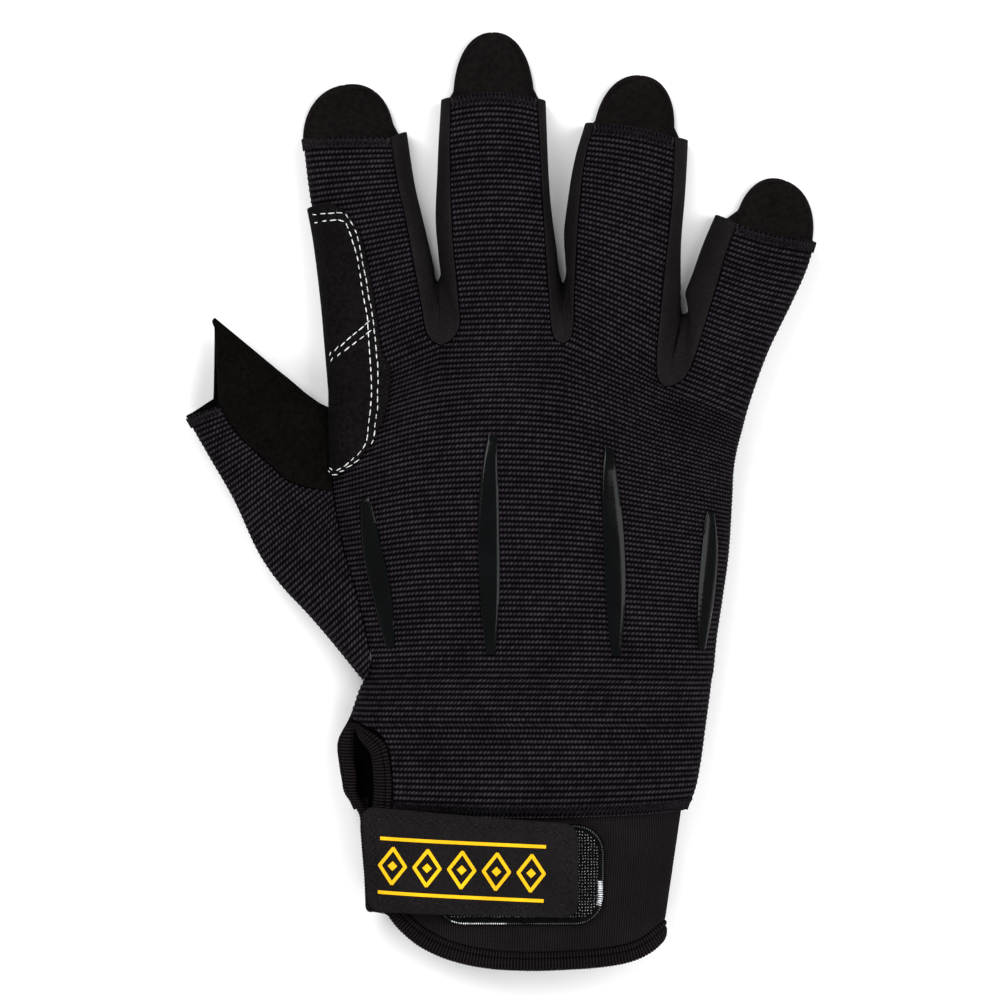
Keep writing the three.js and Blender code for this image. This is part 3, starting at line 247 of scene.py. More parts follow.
@dataclass
class HandForm:
    """The hand's outside: back, palm and fingers as functions of two shares, in millimetres."""

    palm_length: float = 116.0
    cuff_seam: float = -77.5
    knuckle_start: tuple[float, float] = (-41.8, 11.5)
    palm_depth: float = 24.0
    side_seam: float = 8.0
    finger_depth: float = 13.5
    finger_seam: float = 5.6
    edge_lift: float = 0.9
    tip_curl: float = 1.8
    tip_fullness: float = 2.2
    tip_taper: float = 0.12
    knuckle_bend: float = 2.5
    bulge_share: float = 0.75
    foot: float = 0.285
    thumb_join: float = 0.735
    web_join: float = 0.955
    vent_top: float = 0.19
    ease_height: float = 0.3
    seam_sag: float = 1.3
    sag_fade: float = 0.12
    webs: tuple[float, float, float] = (12.6, 13.6, 15.5)
    web_blend: float = 0.75
    web_end: float = 0.7
    hem_rises: tuple[tuple[float, float], ...] = ((1.6, 0), (0, 0), (0, 1))
    rise_from: float = 0.7
    walls: Walls = field(default_factory=Walls)
    side_line: Line = Line(
        BACK_ROWS,
        (0.049, 0.024, 0.013, 0.01, 0.026, 0.038, 0.053, 0.0735, 0.068, 0.042, 0.018, 0.002, -0.006, -0.002, 0),
    )
    back_edge: Line = Line(
        BACK_ROWS,
        (0.146, 0.148, 0.145, 0.132, 0.103, 0.05, 0.054, 0.0735, 0.094, 0.086, 0.058, 0.026, 0.002, 0, 0),
    )
    little_edge: Line = Line(
        BACK_ROWS,
        (0.862, 0.882, 0.893, 0.901, 0.905, 0.908, 0.914, 0.92, 0.925, 0.932, 0.948, 0.962, 0.97, 0.976, 1),
    )
    crown: Line = Line((0, 0.22, 0.46, 0.7, 0.86, 1), (0.8, 0.92, 1, 0.95, 0.84, 0.72))
    palm_edge: Line = Line(
        PALM_ROWS,
        (0.049, 0.024, 0.013, 0.01, 0.038, 0.0735, 0.084, 0.086, 0.062, 0.036, 0.02, 0.008, 0, 0),
    )
    palm_lift: Line = Line(
        PALM_ROWS,
        (1, 1, 1, 1, 1, 1, 0.6, 0.12, 0.05, 0.05, 0.1, 0.5, 0.95, 1),
    )
    finger_crown: Line = Line((0, 0.1, 0.3, 0.65, 1), (1.26, 1.19, 1.08, 1, 0.94))
    finger_drop: Line = Line((0, 0.1, 0.3, 0.65, 1), (0.3, 0.24, 0.16, 0.13, 0.12))
    bulges: tuple[Line, Line, Line] = (
        Line((0, 0.3, 0.44, 0.5, 0.56, 0.75, 0.9, 1), (0.3, 0.29, 0.28, 0.26, 0.28, 0.28, 0.22, 0.17)),
        Line((0, 0.3, 0.44, 0.5, 0.56, 0.7, 0.85, 1), (0.15, 0.13, 0.13, 0.15, 0.15, 0.22, 0.2, 0.15)),
        Line((0, 0.3, 0.44, 0.5, 0.57, 0.7, 0.85, 1), (0.26, 0.23, 0.22, 0.23, 0.26, 0.46, 0.46, 0.4)),
    )

    @cached_property
    def knuckles(self) -> Array:
        """The crotch points along the knuckle line, in plan."""
        start_x, drop = self.knuckle_start
        places = [np.array([start_x, self.cuff_seam + self.palm_length - drop])]
        for finger in FINGERS:
            angle = math.radians(finger.slope)
            places.append(places[-1] + finger.root * np.array([math.cos(angle), math.sin(angle)]))
        return np.array(places)

    @cached_property
    def span(self) -> float:
        """The knuckle line's reach in X."""
        return float(self.knuckles[-1, 0] - self.knuckles[0, 0])

    def across_x(self, share: Array | float) -> Array:
        """Returns X at a share of the knuckle span."""
        return self.knuckles[0, 0] + self.span * np.asarray(share, float)

    def axis(self, i: int) -> tuple[Array, Array, Array, float]:
        """Returns finger i's axis, its sideways direction, its root's centre and its root's width."""
        tilt = math.radians(FINGERS[i].tilt)
        ahead = np.array([math.sin(tilt), math.cos(tilt)])
        lateral = np.array([ahead[1], -ahead[0]])
        centre = (self.knuckles[i] + self.knuckles[i + 1]) / 2
        return ahead, lateral, centre, float((self.knuckles[i + 1] - self.knuckles[i]) @ lateral)

    def finger_of(self, c: Array) -> tuple[Array, Array]:
        """Returns which finger a hand column belongs to, and where it lies across that finger."""
        first = np.concatenate([[0], np.cumsum(COLUMNS)[:-1]])
        place = np.asarray(c, float) * sum(COLUMNS)
        i = np.searchsorted(first, place + 1e-6, side="right") - 1
        share = np.clip((place - first[i]) / np.array(COLUMNS)[i], 0, 1)
        return i, spread(share, i == FIRST, i == LAST)

    def finger_height(self, i: Array | int, across: Array, along: Array | float) -> Array:
        """Returns the height of a finger's back at a place across it and along it."""
        crown = self.finger_crown(along) * self.finger_depth
        u = 2 * across - 1
        wraps = np.where(u < 0, np.asarray(i) == FIRST, np.asarray(i) == LAST)
        seam = mix(self.side_seam, self.finger_seam, smooth(along, 0, 0.5))
        edge = np.where(wraps, seam, crown - self.finger_drop(along) * self.finger_depth)
        return edge + (crown - edge) * np.where(wraps, round_shoulder(u), soft_shoulder(u))

    def finger_plan(
        self, i: int, across: Array, along: Array, left: Array | float = 0, right: Array | float = 0
    ) -> Array:
        """Returns the plan of a place on finger i.

        Args:
            i: The finger.
            across: Places across it, from 0 to 1.
            along: Places along it, from its root at 0 to its hem at 1.
            left: How far its left edge is moved outwards.
            right: How far its right edge is moved outwards.

        Returns:
            Points in X and Y.
        """
        finger = FINGERS[i]
        ahead, lateral, centre, width = self.axis(i)
        across, along = together(across, along)
        root = self.knuckles[i] + (self.knuckles[i + 1] - self.knuckles[i]) * across[..., None] - centre
        u = 2 * across - 1
        reach = along + (root @ ahead) / finger.length * (1 - along)
        reach = reach + (finger.skew * u + finger.arch * (1 - u * u)) * along
        low = Line(finger.keys, finger.left)(along) * width - left
        high = Line(finger.keys, finger.right)(along) * width + right
        sideways = mix(low, high, across)
        return centre + ahead * (reach * finger.length)[..., None] + lateral * sideways[..., None]

    def eased(self, points: Array) -> Array:
        """Returns back points with the cloth's shallow waves, which fade out towards the side seams."""
        x, y, z = points[..., 0], points[..., 1], points[..., 2]
        wave = np.sin(x / 9.5 + 0.7 * np.sin(y / 21)) * np.sin(y / 13 + 1.1)
        wave = wave + 0.6 * np.sin(x / 21 + y / 31 + 2)
        return xyz(x, y, z + self.ease_height * wave * smooth(z, 9, 15))

    def finger_back(self, i: int, share: Array, along: Array) -> Array:
        """Returns a place on the back of finger i."""
        across = spread(share, i == FIRST, i == LAST)
        plan = self.finger_plan(i, across, along)
        return xyz(plan[..., 0], plan[..., 1], self.finger_height(i, across, along))

    def row_height(self, knuckle_y: Array, along: Array) -> Array:
        """Returns Y of a row that is level at the cuff and follows the knuckle line at the fingers."""
        crest = self.cuff_seam + self.palm_length
        return self.cuff_seam + self.palm_length * along + (knuckle_y - crest) * along**self.knuckle_bend

    def knuckle_at(self, c: Array) -> tuple[Array, Array, Array]:
        """Returns the knuckle line's point above each column, with its finger and place across it."""
        i, across = self.finger_of(c)
        return mix(self.knuckles[i], self.knuckles[i + 1], across[..., None]), i, across

    def column_place(self, c: Array, along: Array, knuckle: Array) -> Array:
        """Returns where a column lies across the hand, as a share."""
        level = (knuckle[..., 0] - self.knuckles[0, 0]) / self.span
        return mix(spread(c, True, True), level, smooth(along, 0.2, 1))

    def back(self, c: Array | float, along: Array | float) -> Array:
        """Returns a place on the back of the hand, from the cuff seam at 0 to the knuckles at 1."""
        c, along = together(c, along)
        knuckle, i, across = self.knuckle_at(c)
        place = self.column_place(c, along, knuckle)
        x = self.across_x(mix(self.back_edge(along), self.little_edge(along), place))
        side, little = self.across_x(self.side_line(along)), self.across_x(self.little_edge(along))
        u = (x - (side + little) / 2) / ((little - side) / 2)
        crown = self.crown(along) * self.palm_depth
        body = self.side_seam + (crown - self.side_seam) * round_shoulder(np.clip(u, -1, 1))
        z = mix(body, self.finger_height(i, across, 0.0), smooth(along, 0.74, 1))
        crest = Line(tuple(self.knuckles[:, 0]), tuple(self.knuckles[:, 1]))(knuckle[..., 0])
        crest = mix(crest, knuckle[..., 1], smooth(along, 0.85, 1))
        sag = self.seam_sag * np.maximum(0, 1 - u * u) * (1 - smooth(along, 0, self.sag_fade))
        return xyz(x, self.row_height(crest, along) - sag, z)

    def bulge(self, wall: int, share: Array | float) -> Array:
        """Returns how far a side wall bulges past the knit's edge."""
        return self.bulges[wall](share) * self.finger_depth

    def web_axis(self, wall: int) -> Array:
        """Returns the direction in which the palm's crotch lies past the knit's."""
        return unit(self.axis(wall)[0] + self.axis(wall + 1)[0])

    def web_fade(self, along: Array) -> Array:
        """Returns what is left of the web at places along a finger."""
        return 1 - smooth(along, 0, self.web_blend)

    def crotch_shift(self, i: Array | int, across: Array) -> Array:
        """Returns how far the palm's knuckle line lies past the knit's at places across finger i."""
        webs, bulges = np.zeros((len(FINGERS) + 1, 2)), np.zeros(len(FINGERS) + 1)
        for k, web in enumerate(self.webs):
            webs[k + 1] = self.web_axis(k) * web
            bulges[k + 1] = float(self.bulge(k, 0.5)) * self.bulge_share
        ahead = np.array([self.axis(k)[0] for k in range(len(FINGERS))])[i]
        push = mix(bulges[i], bulges[i + 1], across)
        return mix(webs[i], webs[i + 1], across[..., None]) + ahead * push[..., None]

    def palm(self, c: Array | float, along: Array | float) -> Array:
        """Returns a place on the palm, from the cuff seam at 0 to the knuckles at 1."""
        c, along = together(c, along)
        knuckle, i, across = self.knuckle_at(c)
        knuckle = knuckle + self.crotch_shift(i, across)
        plain = self.column_place(c, along, knuckle)
        beside_thumb = smooth(along, self.foot - 0.025, self.foot + 0.055) * (1 - smooth(along, 0.8, 0.86))
        x = self.across_x(mix(self.palm_edge(along), self.little_edge(along), plain))
        x = x + self.walls.gap * (1 - c) * beside_thumb
        side = 2 * plain - 1
        lift = np.where(side < 0, self.palm_lift(along), 1)
        z = (self.side_seam - self.walls.gap) * lift * (1 - flat_floor(side))
        return xyz(x, self.row_height(knuckle[..., 1], along), z)

    def finger_palm(self, i: int, share: Array, past: Array) -> Array:
        """Returns a place on the front of finger i.

        Args:
            i: The finger.
            share: Places across it, from 0 to 1.
            past: Places from the knuckles at 0 past the hem at 1, to the tongue's end at 2.

        Returns:
            Points on the suede's outside.
        """
        finger = FINGERS[i]
        ahead, lateral, centre, _ = self.axis(i)
        share, past = together(share, past)
        across = spread(share, i == FIRST, i == LAST)
        u = 2 * across - 1
        t = np.minimum(past, 1)
        fade = smooth(t, 0, 0.09)
        left = 0 if i == FIRST else self.bulge(i - 1, 0.5 + t / 2) * self.bulge_share * fade
        right = 0 if i == LAST else self.bulge(i, 0.5 - t / 2) * self.bulge_share * fade
        plan = self.finger_plan(i, across, t, left, right)
        plan = plan + self.crotch_shift(i, across) * self.web_fade(t)[..., None]
        wraps = np.where(u < 0, i == FIRST, i == LAST)
        seam = mix(self.side_seam, self.finger_seam, smooth(t, 0, 0.5)) - self.walls.gap
        lift = np.where(wraps, seam, self.edge_lift * fade)
        beyond = np.maximum(past - 1, 0)
        reach = np.sin(beyond * np.pi / 2)
        half = finger.tip_width / 2 * np.maximum(0, 1 - reach**self.tip_fullness) ** (1 / self.tip_fullness)
        tongue = centre + ahead * (finger.length + finger.tip * reach)[..., None]
        tongue = tongue + lateral * (half * u + finger.lean * reach)[..., None]
        free = smooth(beyond, 0, self.tip_taper)
        plan = mix(plan, tongue, free[..., None])
        lift = mix(lift, self.edge_lift, free)
        on_hand = flat_floor(2 * (plan[..., 0] - self.knuckles[0, 0]) / self.span - 1)
        z = lift * (1 - mix(on_hand, flat_floor(u), fade)) + self.tip_curl * reach**2
        return xyz(plan[..., 0], plan[..., 1], z)


@dataclass
class ThumbForm:
    """The thumb's guide lines and its two panels, in millimetres."""

    hand: HandForm
    length: float = 79.0
    angle: float = 33.9
    hem: float = 9.2
    hem_angle: float = 19.0
    girth: float = 24.9
    depth: float = 15.0
    hem_depth: float = 12.5
    tip: float = 17.0
    tip_rise: float = 2.0
    tip_lean: float = 0.8
    tongue_root: float = 0.6
    hand_seam: float = 0.52
    foot_width: float = 0.025
    bow_keys: tuple[float, ...] = (0, 0.13, 0.26, 0.4, 0.52, 0.7, 0.87, 1)
    outer_bow: tuple[float, ...] = (0, -0.011, -0.026, -0.048, -0.049, -0.021, -0.009, 0)
    seam_bow: tuple[float, ...] = (0, -0.042, -0.062, -0.056, -0.052, -0.042, -0.022, 0)
    web_bow: tuple[float, ...] = (0, -0.009, -0.01, -0.01, -0.007, -0.004, -0.002, 0)

    @cached_property
    def axis(self) -> Array:
        """The direction from the thumb's foot towards its hem."""
        angle = math.radians(self.angle)
        return np.array([-math.sin(angle), math.cos(angle), 0])

    @cached_property
    def lateral(self) -> Array:
        """The direction across the thumb, towards the hand."""
        return np.array([self.axis[1], -self.axis[0], 0])

    @cached_property
    def gap(self) -> Array:
        """The seam's gap, towards the thumb."""
        return np.array([-self.hand.walls.gap, 0, 0])

    @cached_property
    def corners(self) -> dict[str, tuple[Array, Array]]:
        """Where each guide line starts on the hand and ends at the thumb's open hem."""
        base = self.hand.back(0, self.hand.foot) + self.gap
        base[2] = self.hand.side_seam
        outer = base + self.axis * self.length
        outer[2] = self.hand.finger_seam
        angle = math.radians(self.hem_angle)
        seam = outer + self.hem * np.array([math.cos(angle), math.sin(angle), 0])
        seam[2] = self.hem_depth
        web = outer + self.lateral * self.girth
        return {
            "outer": (base, outer),
            "seam": (self.hand.back(0, self.hand.thumb_join) + self.gap, seam),
            "web": (self.hand.back(0, self.hand.web_join) + self.gap, web),
        }

    def guide(self, name: str, t: Array) -> Array:
        """Returns places along a guide line named outer, seam or web."""
        start, end = self.corners[name]
        bow = Line(self.bow_keys, getattr(self, name + "_bow"))(t) * self.length
        return mix(start, end, np.asarray(t, float)[..., None]) + self.lateral * bow[..., None]

    def knit_edge(self, t: Array) -> Array:
        """Returns the knit's inner edge: up the hand's seam, then along the suede seam."""
        t = np.asarray(t, float)
        on_hand = np.clip(t / self.hand_seam, 0, 1)
        on_suede = np.clip((t - self.hand_seam) / (1 - self.hand_seam), 0, 1)
        foot = self.hand.foot + self.foot_width
        lower = self.hand.back(0, mix(foot, self.hand.thumb_join, on_hand)) + self.gap
        upper = self.guide("seam", on_suede) - self.lateral * self.hand.walls.gap
        return np.where((t < self.hand_seam)[..., None], lower, upper)

    def back(self, share: Array, t: Array) -> Array:
        """Returns a place on the thumb's knit: share runs from the outer line to the inner edge."""
        share, t = together(share, t)
        across = spread(share, True, False)
        low, high = self.guide("outer", t), self.knit_edge(t)
        depth = mix(self.depth, self.hem_depth, t)
        rise = np.maximum(0, depth - high[..., 2]) * np.sin(np.pi * across) / 2
        plan = mix(low, high, across[..., None])
        z = mix(low[..., 2], high[..., 2], round_shoulder(1 - across)) + rise
        return xyz(plan[..., 0], plan[..., 1], z)

    def palm_rows(self, rows: int, top: int, under: int, tongue: int) -> Array:
        """Returns the suede's grid: over the web line, under, up to the outer line, then the tongue.

        Args:
            rows: Rows from the hand to the hem.
            top: Steps from the knit's seam over the web line.
            under: Steps under the thumb to the outer line.
            tongue: Rows of the free tongue past the hem.

        Returns:
            A grid of points, a row for each station.
        """
        hand = self.hand
        t = np.linspace(0, 1, rows)[:, None]
        free = smooth(t, 0, 0.2)[..., None]
        seam, web, outer = (self.guide(name, t[:, 0])[:, None, :] for name in ("seam", "web", "outer"))
        turn = (np.arange(top + 1) / top * np.pi / 2)[None, :, None]
        over = mix(seam, web, np.sin(turn))
        over[..., 2] = mix(web[..., 2], seam[..., 2], np.cos(turn[..., 0]))
        bound = hand.back(0, mix(hand.thumb_join, hand.web_join, np.arange(top + 1) / top)) + self.gap
        over = mix(bound[None], over, free)
        across = spread(np.arange(1, under + 1) / under, True, True)
        u = 2 * across - 1
        side = np.where(u[None, :] < 0, web[..., 2], outer[..., 2]) - hand.walls.gap
        below = mix(web, outer, across[None, :, None])
        below[..., 2] = side * (1 - flat_floor(u))[None, :]
        bound = hand.palm(0, mix(hand.web_join, hand.foot, across)) + self.gap
        below = mix(bound[None], below, free)
        grid = np.concatenate([over, below], axis=1)
        return np.concatenate([grid, self.tongue_rows(grid[-1], top, under, tongue)], axis=0)

    def tongue_rows(self, hem: Array, top: int, under: int, tongue: int) -> Array:
        """Returns the rows of the tongue, which narrows from the hem to a point along the web line."""
        walls = self.hand.walls
        tip = self.corners["outer"][1] + self.axis * self.tip + self.lateral * (self.tip_lean * self.girth)
        tip[2] = self.hand.finger_seam + self.tip_rise
        reach = hem + self.axis * (walls.suede / 2)
        root = reach[top + round(under * 0.625)]
        ends = []
        for k, place in enumerate(reach):
            away = (k - top) / (under * self.tongue_root)
            if k <= top:
                ends.append(mix(reach[0], tip, k / top))
            elif away < 1:
                end = mix(tip, root, away)
                end[2] = mix(tip[2] - walls.suede - walls.gap, root[2], away)
                ends.append(end)
            else:
                ends.append(place)
        shares = (np.arange(1, tongue + 1) / tongue)[:, None, None]
        return mix(hem[None], np.array(ends)[None], shares)


@dataclass
class WristForm:
    """The cuff's section, which is the hand's own at the cuff seam, drawn in and tapered."""

    hand: HandForm
    height: float = 34.2
    taper: float = 3.9
    lean: float = 1.1
    hem_keys: tuple[float, ...] = (-1, -0.8, -0.72, -0.6, -0.4, -0.1, 0.35, 0.8, 1)
    hem_back: tuple[float, ...] = (0.5, 0.62, 0.74, 0.85, 0.945, 1, 1, 0.94, 0.79)
    hem_palm: tuple[float, ...] = (0.6, 0.66, 0.73, 0.82, 0.9, 0.93, 0.93, 0.89, 0.79)

    @cached_property
    def middle(self) -> tuple[float, float, float]:
        """The wrist's centre, half width and crown at the cuff seam."""
        hand = self.hand
        side, little = float(hand.side_line(0)), float(hand.little_edge(0))
        crown = float(hand.crown(0)) * hand.palm_depth
        return float(hand.across_x((side + little) / 2)), hand.span * (little - side) / 2, crown

    @cached_property
    def inset(self) -> float:
        """How far the cuff lies inside the knit."""
        return self.hand.walls.knit + self.hand.walls.gap

    @cached_property
    def open_turn(self) -> float:
        """The turn at which the cuff ends beside the slit."""
        edge = float(self.hand.across_x(self.hand.back_edge(0)))
        return math.acos((edge - self.middle[0]) / self.middle[1])

    def half_width(self, drop: Array, inset: float) -> Array:
        """Returns half the wrist's width at a drop below the cuff seam."""
        return self.middle[1] - inset - self.taper * np.maximum(0, drop) / self.height

    def centre_x(self, drop: Array) -> Array:
        """Returns the wrist's centre in X at a drop below the cuff seam."""
        return self.middle[0] - self.lean * np.maximum(0, drop) / self.height

    def at(self, u: Array, drop: Array, inset: float, z: Array) -> Array:
        """Returns a place across the wrist at a height."""
        return xyz(self.centre_x(drop) + self.half_width(drop, inset) * u, self.hand.cuff_seam - drop, z)

    def over(self, u: Array, drop: Array, inset: float) -> Array:
        """Returns a place on the back of the wrist."""
        seam = self.hand.side_seam
        return self.at(u, drop, inset, seam + (self.middle[2] - inset - seam) * round_shoulder(u))

    def under(self, u: Array, drop: Array, inset: float) -> Array:
        """Returns a place on the palm side of the wrist."""
        floor = inset * (1 - smooth(drop, 0, 2 * self.hand.walls.cuff_lap))
        seam = self.hand.side_seam - self.hand.walls.gap
        return self.at(u, drop, inset, mix(floor, seam, 1 - flat_floor(u)))

    def cuff(self, turn: Array | float, down: Array | float) -> Array:
        """Returns a place on the cuff.

        Args:
            turn: Once round: from the little-finger side at 0 over the back, negative under the palm.
            down: From the cuff's top at 0 to its hem at 1.

        Returns:
            Points on the cuff's outside.
        """
        turn, down = together(turn, down)
        u = np.clip(np.cos(turn), -1, 1)
        is_over = np.sin(turn) > 1e-6
        back, palm = (Line(self.hem_keys, hem)(u) for hem in (self.hem_back, self.hem_palm))
        reach = np.where(is_over, back, palm)
        drop = mix(-self.hand.walls.cuff_lap, self.height * reach, down)
        return np.where(is_over[..., None], self.over(u, drop, self.inset), self.under(u, drop, self.inset))

    def cover(self, outline: "Cover", rows: int, columns: int, lift: Callable | None = None) -> Array:
        """Returns the grid of a flat piece that lies over the back of the wrist.

        Args:
            outline: The piece's outline.
            rows: Rows from its top to its bottom.
            columns: Columns from its thumb-side end to its other end.
            lift: Extra inset from the distance to the outline, for a stitched groove.

        Returns:
            A grid of points, a row from end to end for each height.
        """
        share = np.linspace(0, 1, columns)[None, :]
        t = np.linspace(0, 1, rows)[:, None]
        length = outline.end_x - float(outline.start_x(np.array(0.0)))
        along = (1 - np.cos(np.pi * share)) / 2 * length
        from_end = np.minimum(along, length - along)
        rounding = 1 - np.clip(from_end / outline.corner, 0, 1)
        pull = outline.corner * (1 - np.sqrt(np.maximum(0, 1 - rounding**2)))
        top, bottom = outline.top(along) + pull, outline.bottom(along) - pull
        drop = mix(top, bottom, t)
        x = mix(outline.start_x(drop), outline.end_x, along / length)
        u = (x - self.centre_x(drop)) / self.half_width(drop, outline.inset)
        place = self.over(u, drop, outline.inset)
        if lift is not None:
            edge = np.minimum(np.minimum(drop - top, bottom - drop), from_end)
            place[..., 2] += lift(edge)
        return place


@dataclass(frozen=True)
class Cover:
    """A flat piece on the cuff's back: its outline below the cuff seam, in millimetres."""

    start_x: Callable[[Array], Array]
    end_x: float
    top: Callable[[Array], Array]
    bottom: Callable[[Array], Array]
    corner: float
    inset: float


def grid_faces(rows: int, columns: int, flipped: bool = False) -> Array:
    """Returns the quads of a plain grid; flipped turns them to face the other way."""
    k = (np.arange(rows - 1)[:, None] * columns + np.arange(columns - 1)[None, :]).ravel()
    quads = np.stack([k, k + 1, k + columns + 1, k + columns], axis=1)
    return quads[:, ::-1] if flipped else quads


def pattern_uv(across: Array, along: Array) -> Array:
    """Returns pattern coordinates from each point's place along its row and each row's place."""
    return np.stack([across, np.broadcast_to(along[:, None], across.shape)], axis=2).reshape(-1, 2)


LEVEL_REACH = 2.9


def fingered_sheet(
    hand: Array, fingers: Sequence[Array], seam: float, flipped: bool = False
) -> tuple[Array, Array, Array]:
    """Joins the hand's grid and a grid for each finger into one sheet.

    Args:
        hand: Rows of points from the cuff seam to the knuckles.
        fingers: For each finger its rows of points past the knuckles.
        seam: The height of the side seams.
        flipped: Whether the faces look the other way.

    Returns:
        The points, the faces, and the numbers of the points at the side seams.
    """
    count, start = hand.shape[1], hand.shape[0] * hand.shape[1]
    finer = (count - 1) // sum(COLUMNS)
    edges = [np.arange(len(hand)) * count, np.arange(len(hand)) * count + count - 1]
    points, faces, knuckle_row = [hand.reshape(-1, 3)], [grid_faces(len(hand), count, flipped)], start - count
    for i, grown in enumerate(fingers):
        below = knuckle_row + sum(COLUMNS[:i]) * finer + np.arange(grown.shape[1])
        own = start + np.arange(grown.shape[0] * grown.shape[1]).reshape(grown.shape[:2])
        joined = np.stack([below[:-1], below[1:], own[0, 1:], own[0, :-1]], axis=1)
        faces += [joined[:, ::-1] if flipped else joined, grid_faces(*grown.shape[:2], flipped) + start]
        points.append(grown.reshape(-1, 3))
        edges += [own[:, 0]] * (i == FIRST) + [own[:, -1]] * (i == LAST)
        start += own.size
    points, level = np.concatenate(points), np.concatenate(edges)
    return points, np.concatenate(faces), level[np.abs(points[level, 2] - seam) < LEVEL_REACH]


def row_lengths(grid: Array) -> Array:
    """Returns how far each point of a grid lies along its own row, from the row's middle."""
    steps = np.linalg.norm(np.diff(grid, axis=1), axis=2)
    run = np.concatenate([np.zeros((len(grid), 1)), np.cumsum(steps, axis=1)], axis=1)
    return run - run[:, grid.shape[1] // 2][:, None]


@dataclass
class Cloth:
    """A sheet of outer points in millimetres, which becomes a closed wall with rounded rims."""

    points: Array
    faces: Array
    uv: Array
    level: Array = field(default_factory=lambda: np.zeros(0, int))

    @staticmethod
    def from_grid(
        grid: Array, flipped: bool = False, level: Sequence[int] = (), along: Array | None = None
    ) -> "Cloth":
        """Returns a cloth from a grid of points.

        Args:
            grid: Rows of points.
            flipped: Whether the faces look the other way.
            level: Columns at a side seam, where the wall stands square.
            along: The second pattern coordinate of each row, or None to measure it.

        Returns:
            The cloth, with pattern coordinates measured along its rows.
        """
        rows, columns = grid.shape[:2]
        uv = pattern_uv(row_lengths(grid), run_along(grid[:, columns // 2]) if along is None else along)
        square = [np.arange(rows) * columns + column % columns for column in level]
        square = np.concatenate(square) if square else np.zeros(0, int)
        return Cloth(grid.reshape(-1, 3), grid_faces(rows, columns, flipped), uv, square)

    def normals(self) -> Array:
        """Returns each point's normal, averaged from its faces and level at the side seams."""
        a, b, c, d = (self.points[self.faces[:, k]] for k in range(4))
        facing = np.cross(c - a, d - b)
        normals = np.zeros_like(self.points)
        for k in range(4):
            np.add.at(normals, self.faces[:, k], facing)
        normals[self.level, 2] = 0
        return unit(normals)

    def wall(
        self, thickness: float, lift: float = 0, relief: Array | None = None, rim: float = 0.12,
        inner: Array | None = None,
    ) -> tuple[Array, Array, Array]:
        """Returns the closed wall's points, faces and pattern coordinates.

        Args:
            thickness: The wall's thickness.
            lift: How far its outside lies above the sheet.
            relief: Extra height of each outer point.
            rim: How far the middle of an open edge bulges.
            inner: The inside's points, or None for a wall of even thickness.

        Returns:
            Points, faces of four corners and pattern coordinates.
        """
        normals = self.normals()
        raised = lift if relief is None else lift + relief[:, None]
        outer = self.points + normals * raised
        inside = self.points + normals * (lift - thickness) if inner is None else inner
        count = len(outer)
        starts, ends = self.faces.ravel(), np.roll(self.faces, -1, axis=1).ravel()
        open_edge = ~np.isin(starts * count + ends, ends * count + starts)
        starts, ends = starts[open_edge], ends[open_edge]
        border, place = np.unique(starts, return_inverse=True)
        lookup = np.full(count, -1)
        lookup[border] = np.arange(len(border))
        direction = unit(np.cross(outer[ends] - outer[starts], normals[starts] + normals[ends]))
        outwards = np.zeros((len(border), 3))
        np.add.at(outwards, place, direction)
        np.add.at(outwards, lookup[ends], direction)
        middle = (outer[border] + inside[border]) / 2 + unit(outwards) * rim
        first, second = lookup[starts] + 2 * count, lookup[ends] + 2 * count
        faces = np.concatenate([
            self.faces,
            self.faces[:, ::-1] + count,
            np.stack([ends, starts, first, second], axis=1),
            np.stack([second, first, starts + count, ends + count], axis=1),
        ])
        uv = np.concatenate([self.uv, self.uv, self.uv[border]])
        return np.concatenate([outer, inside, middle]), faces, uv


def in_scene(name: str, data: bpy.types.ID) -> Piece:
    """Returns a new object in the scene that holds the given mesh, light or camera."""
    thing = bpy.data.objects.new(name, data)
    bpy.context.scene.collection.objects.link(thing)
    return thing


class Workshop:
    """Makes finished objects from arrays and reports each of them."""

    def __init__(self) -> None:
        """Starts with no pieces."""
        self.pieces: list[Piece] = []

    def mesh(
        self, name: str, points: Array, faces: Array, uv: Array | None = None, sharp: float = 50
    ) -> Mesh:
        """Returns a smooth mesh in metres.

        Args:
            name: The mesh's name.
            points: Points in millimetres.
            faces: Faces of any number of corners.
            uv: Pattern coordinates of each point, in millimetres.
            sharp: The angle in degrees past which an edge stays sharp.

        Returns:
            The mesh.
        """
        mesh = bpy.data.meshes.new(name)
        mesh.from_pydata((points * MM).tolist(), [], np.asarray(faces).tolist())
        if uv is not None:
            corners = np.zeros(len(mesh.loops), np.int32)
            mesh.loops.foreach_get("vertex_index", corners)
            mesh.uv_layers.new(name="cloth").data.foreach_set("uv", uv[corners].astype(np.float32).ravel())
        mesh.shade_smooth()
        mesh.set_sharp_from_angle(angle=math.radians(sharp))
        return mesh

    def add(
        self, name: str, mesh: Mesh, slot: str, material: Material | None, *nodes: str
    ) -> Piece:
        """Places a finished mesh on the glove.

        Args:
            name: The piece's name.
            mesh: Its mesh, in place.
            slot: Not used.
            material: Its material, or None where the mesh has its own.
            nodes: The solids that it stands for.

        Returns:
            The new object.
        """
        piece = in_scene(name, mesh)
        if material is not None:
            mesh.materials.clear()
            mesh.materials.append(material)
        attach(piece, BODY)
        if nodes:
            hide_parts(*nodes)
        self.pieces.append(piece)
        LOG.info("%s: %d faces", name, len(mesh.polygons))
        return piece

    def cloth(self, name: str, wall: Sequence[Array], slot: str, material: Material, *nodes: str) -> Piece:
        """Places a closed wall of cloth on the glove and returns its object."""
        points, faces, uv = wall
        return self.add(name, self.mesh(name, points, faces, uv), slot, material, *nodes)


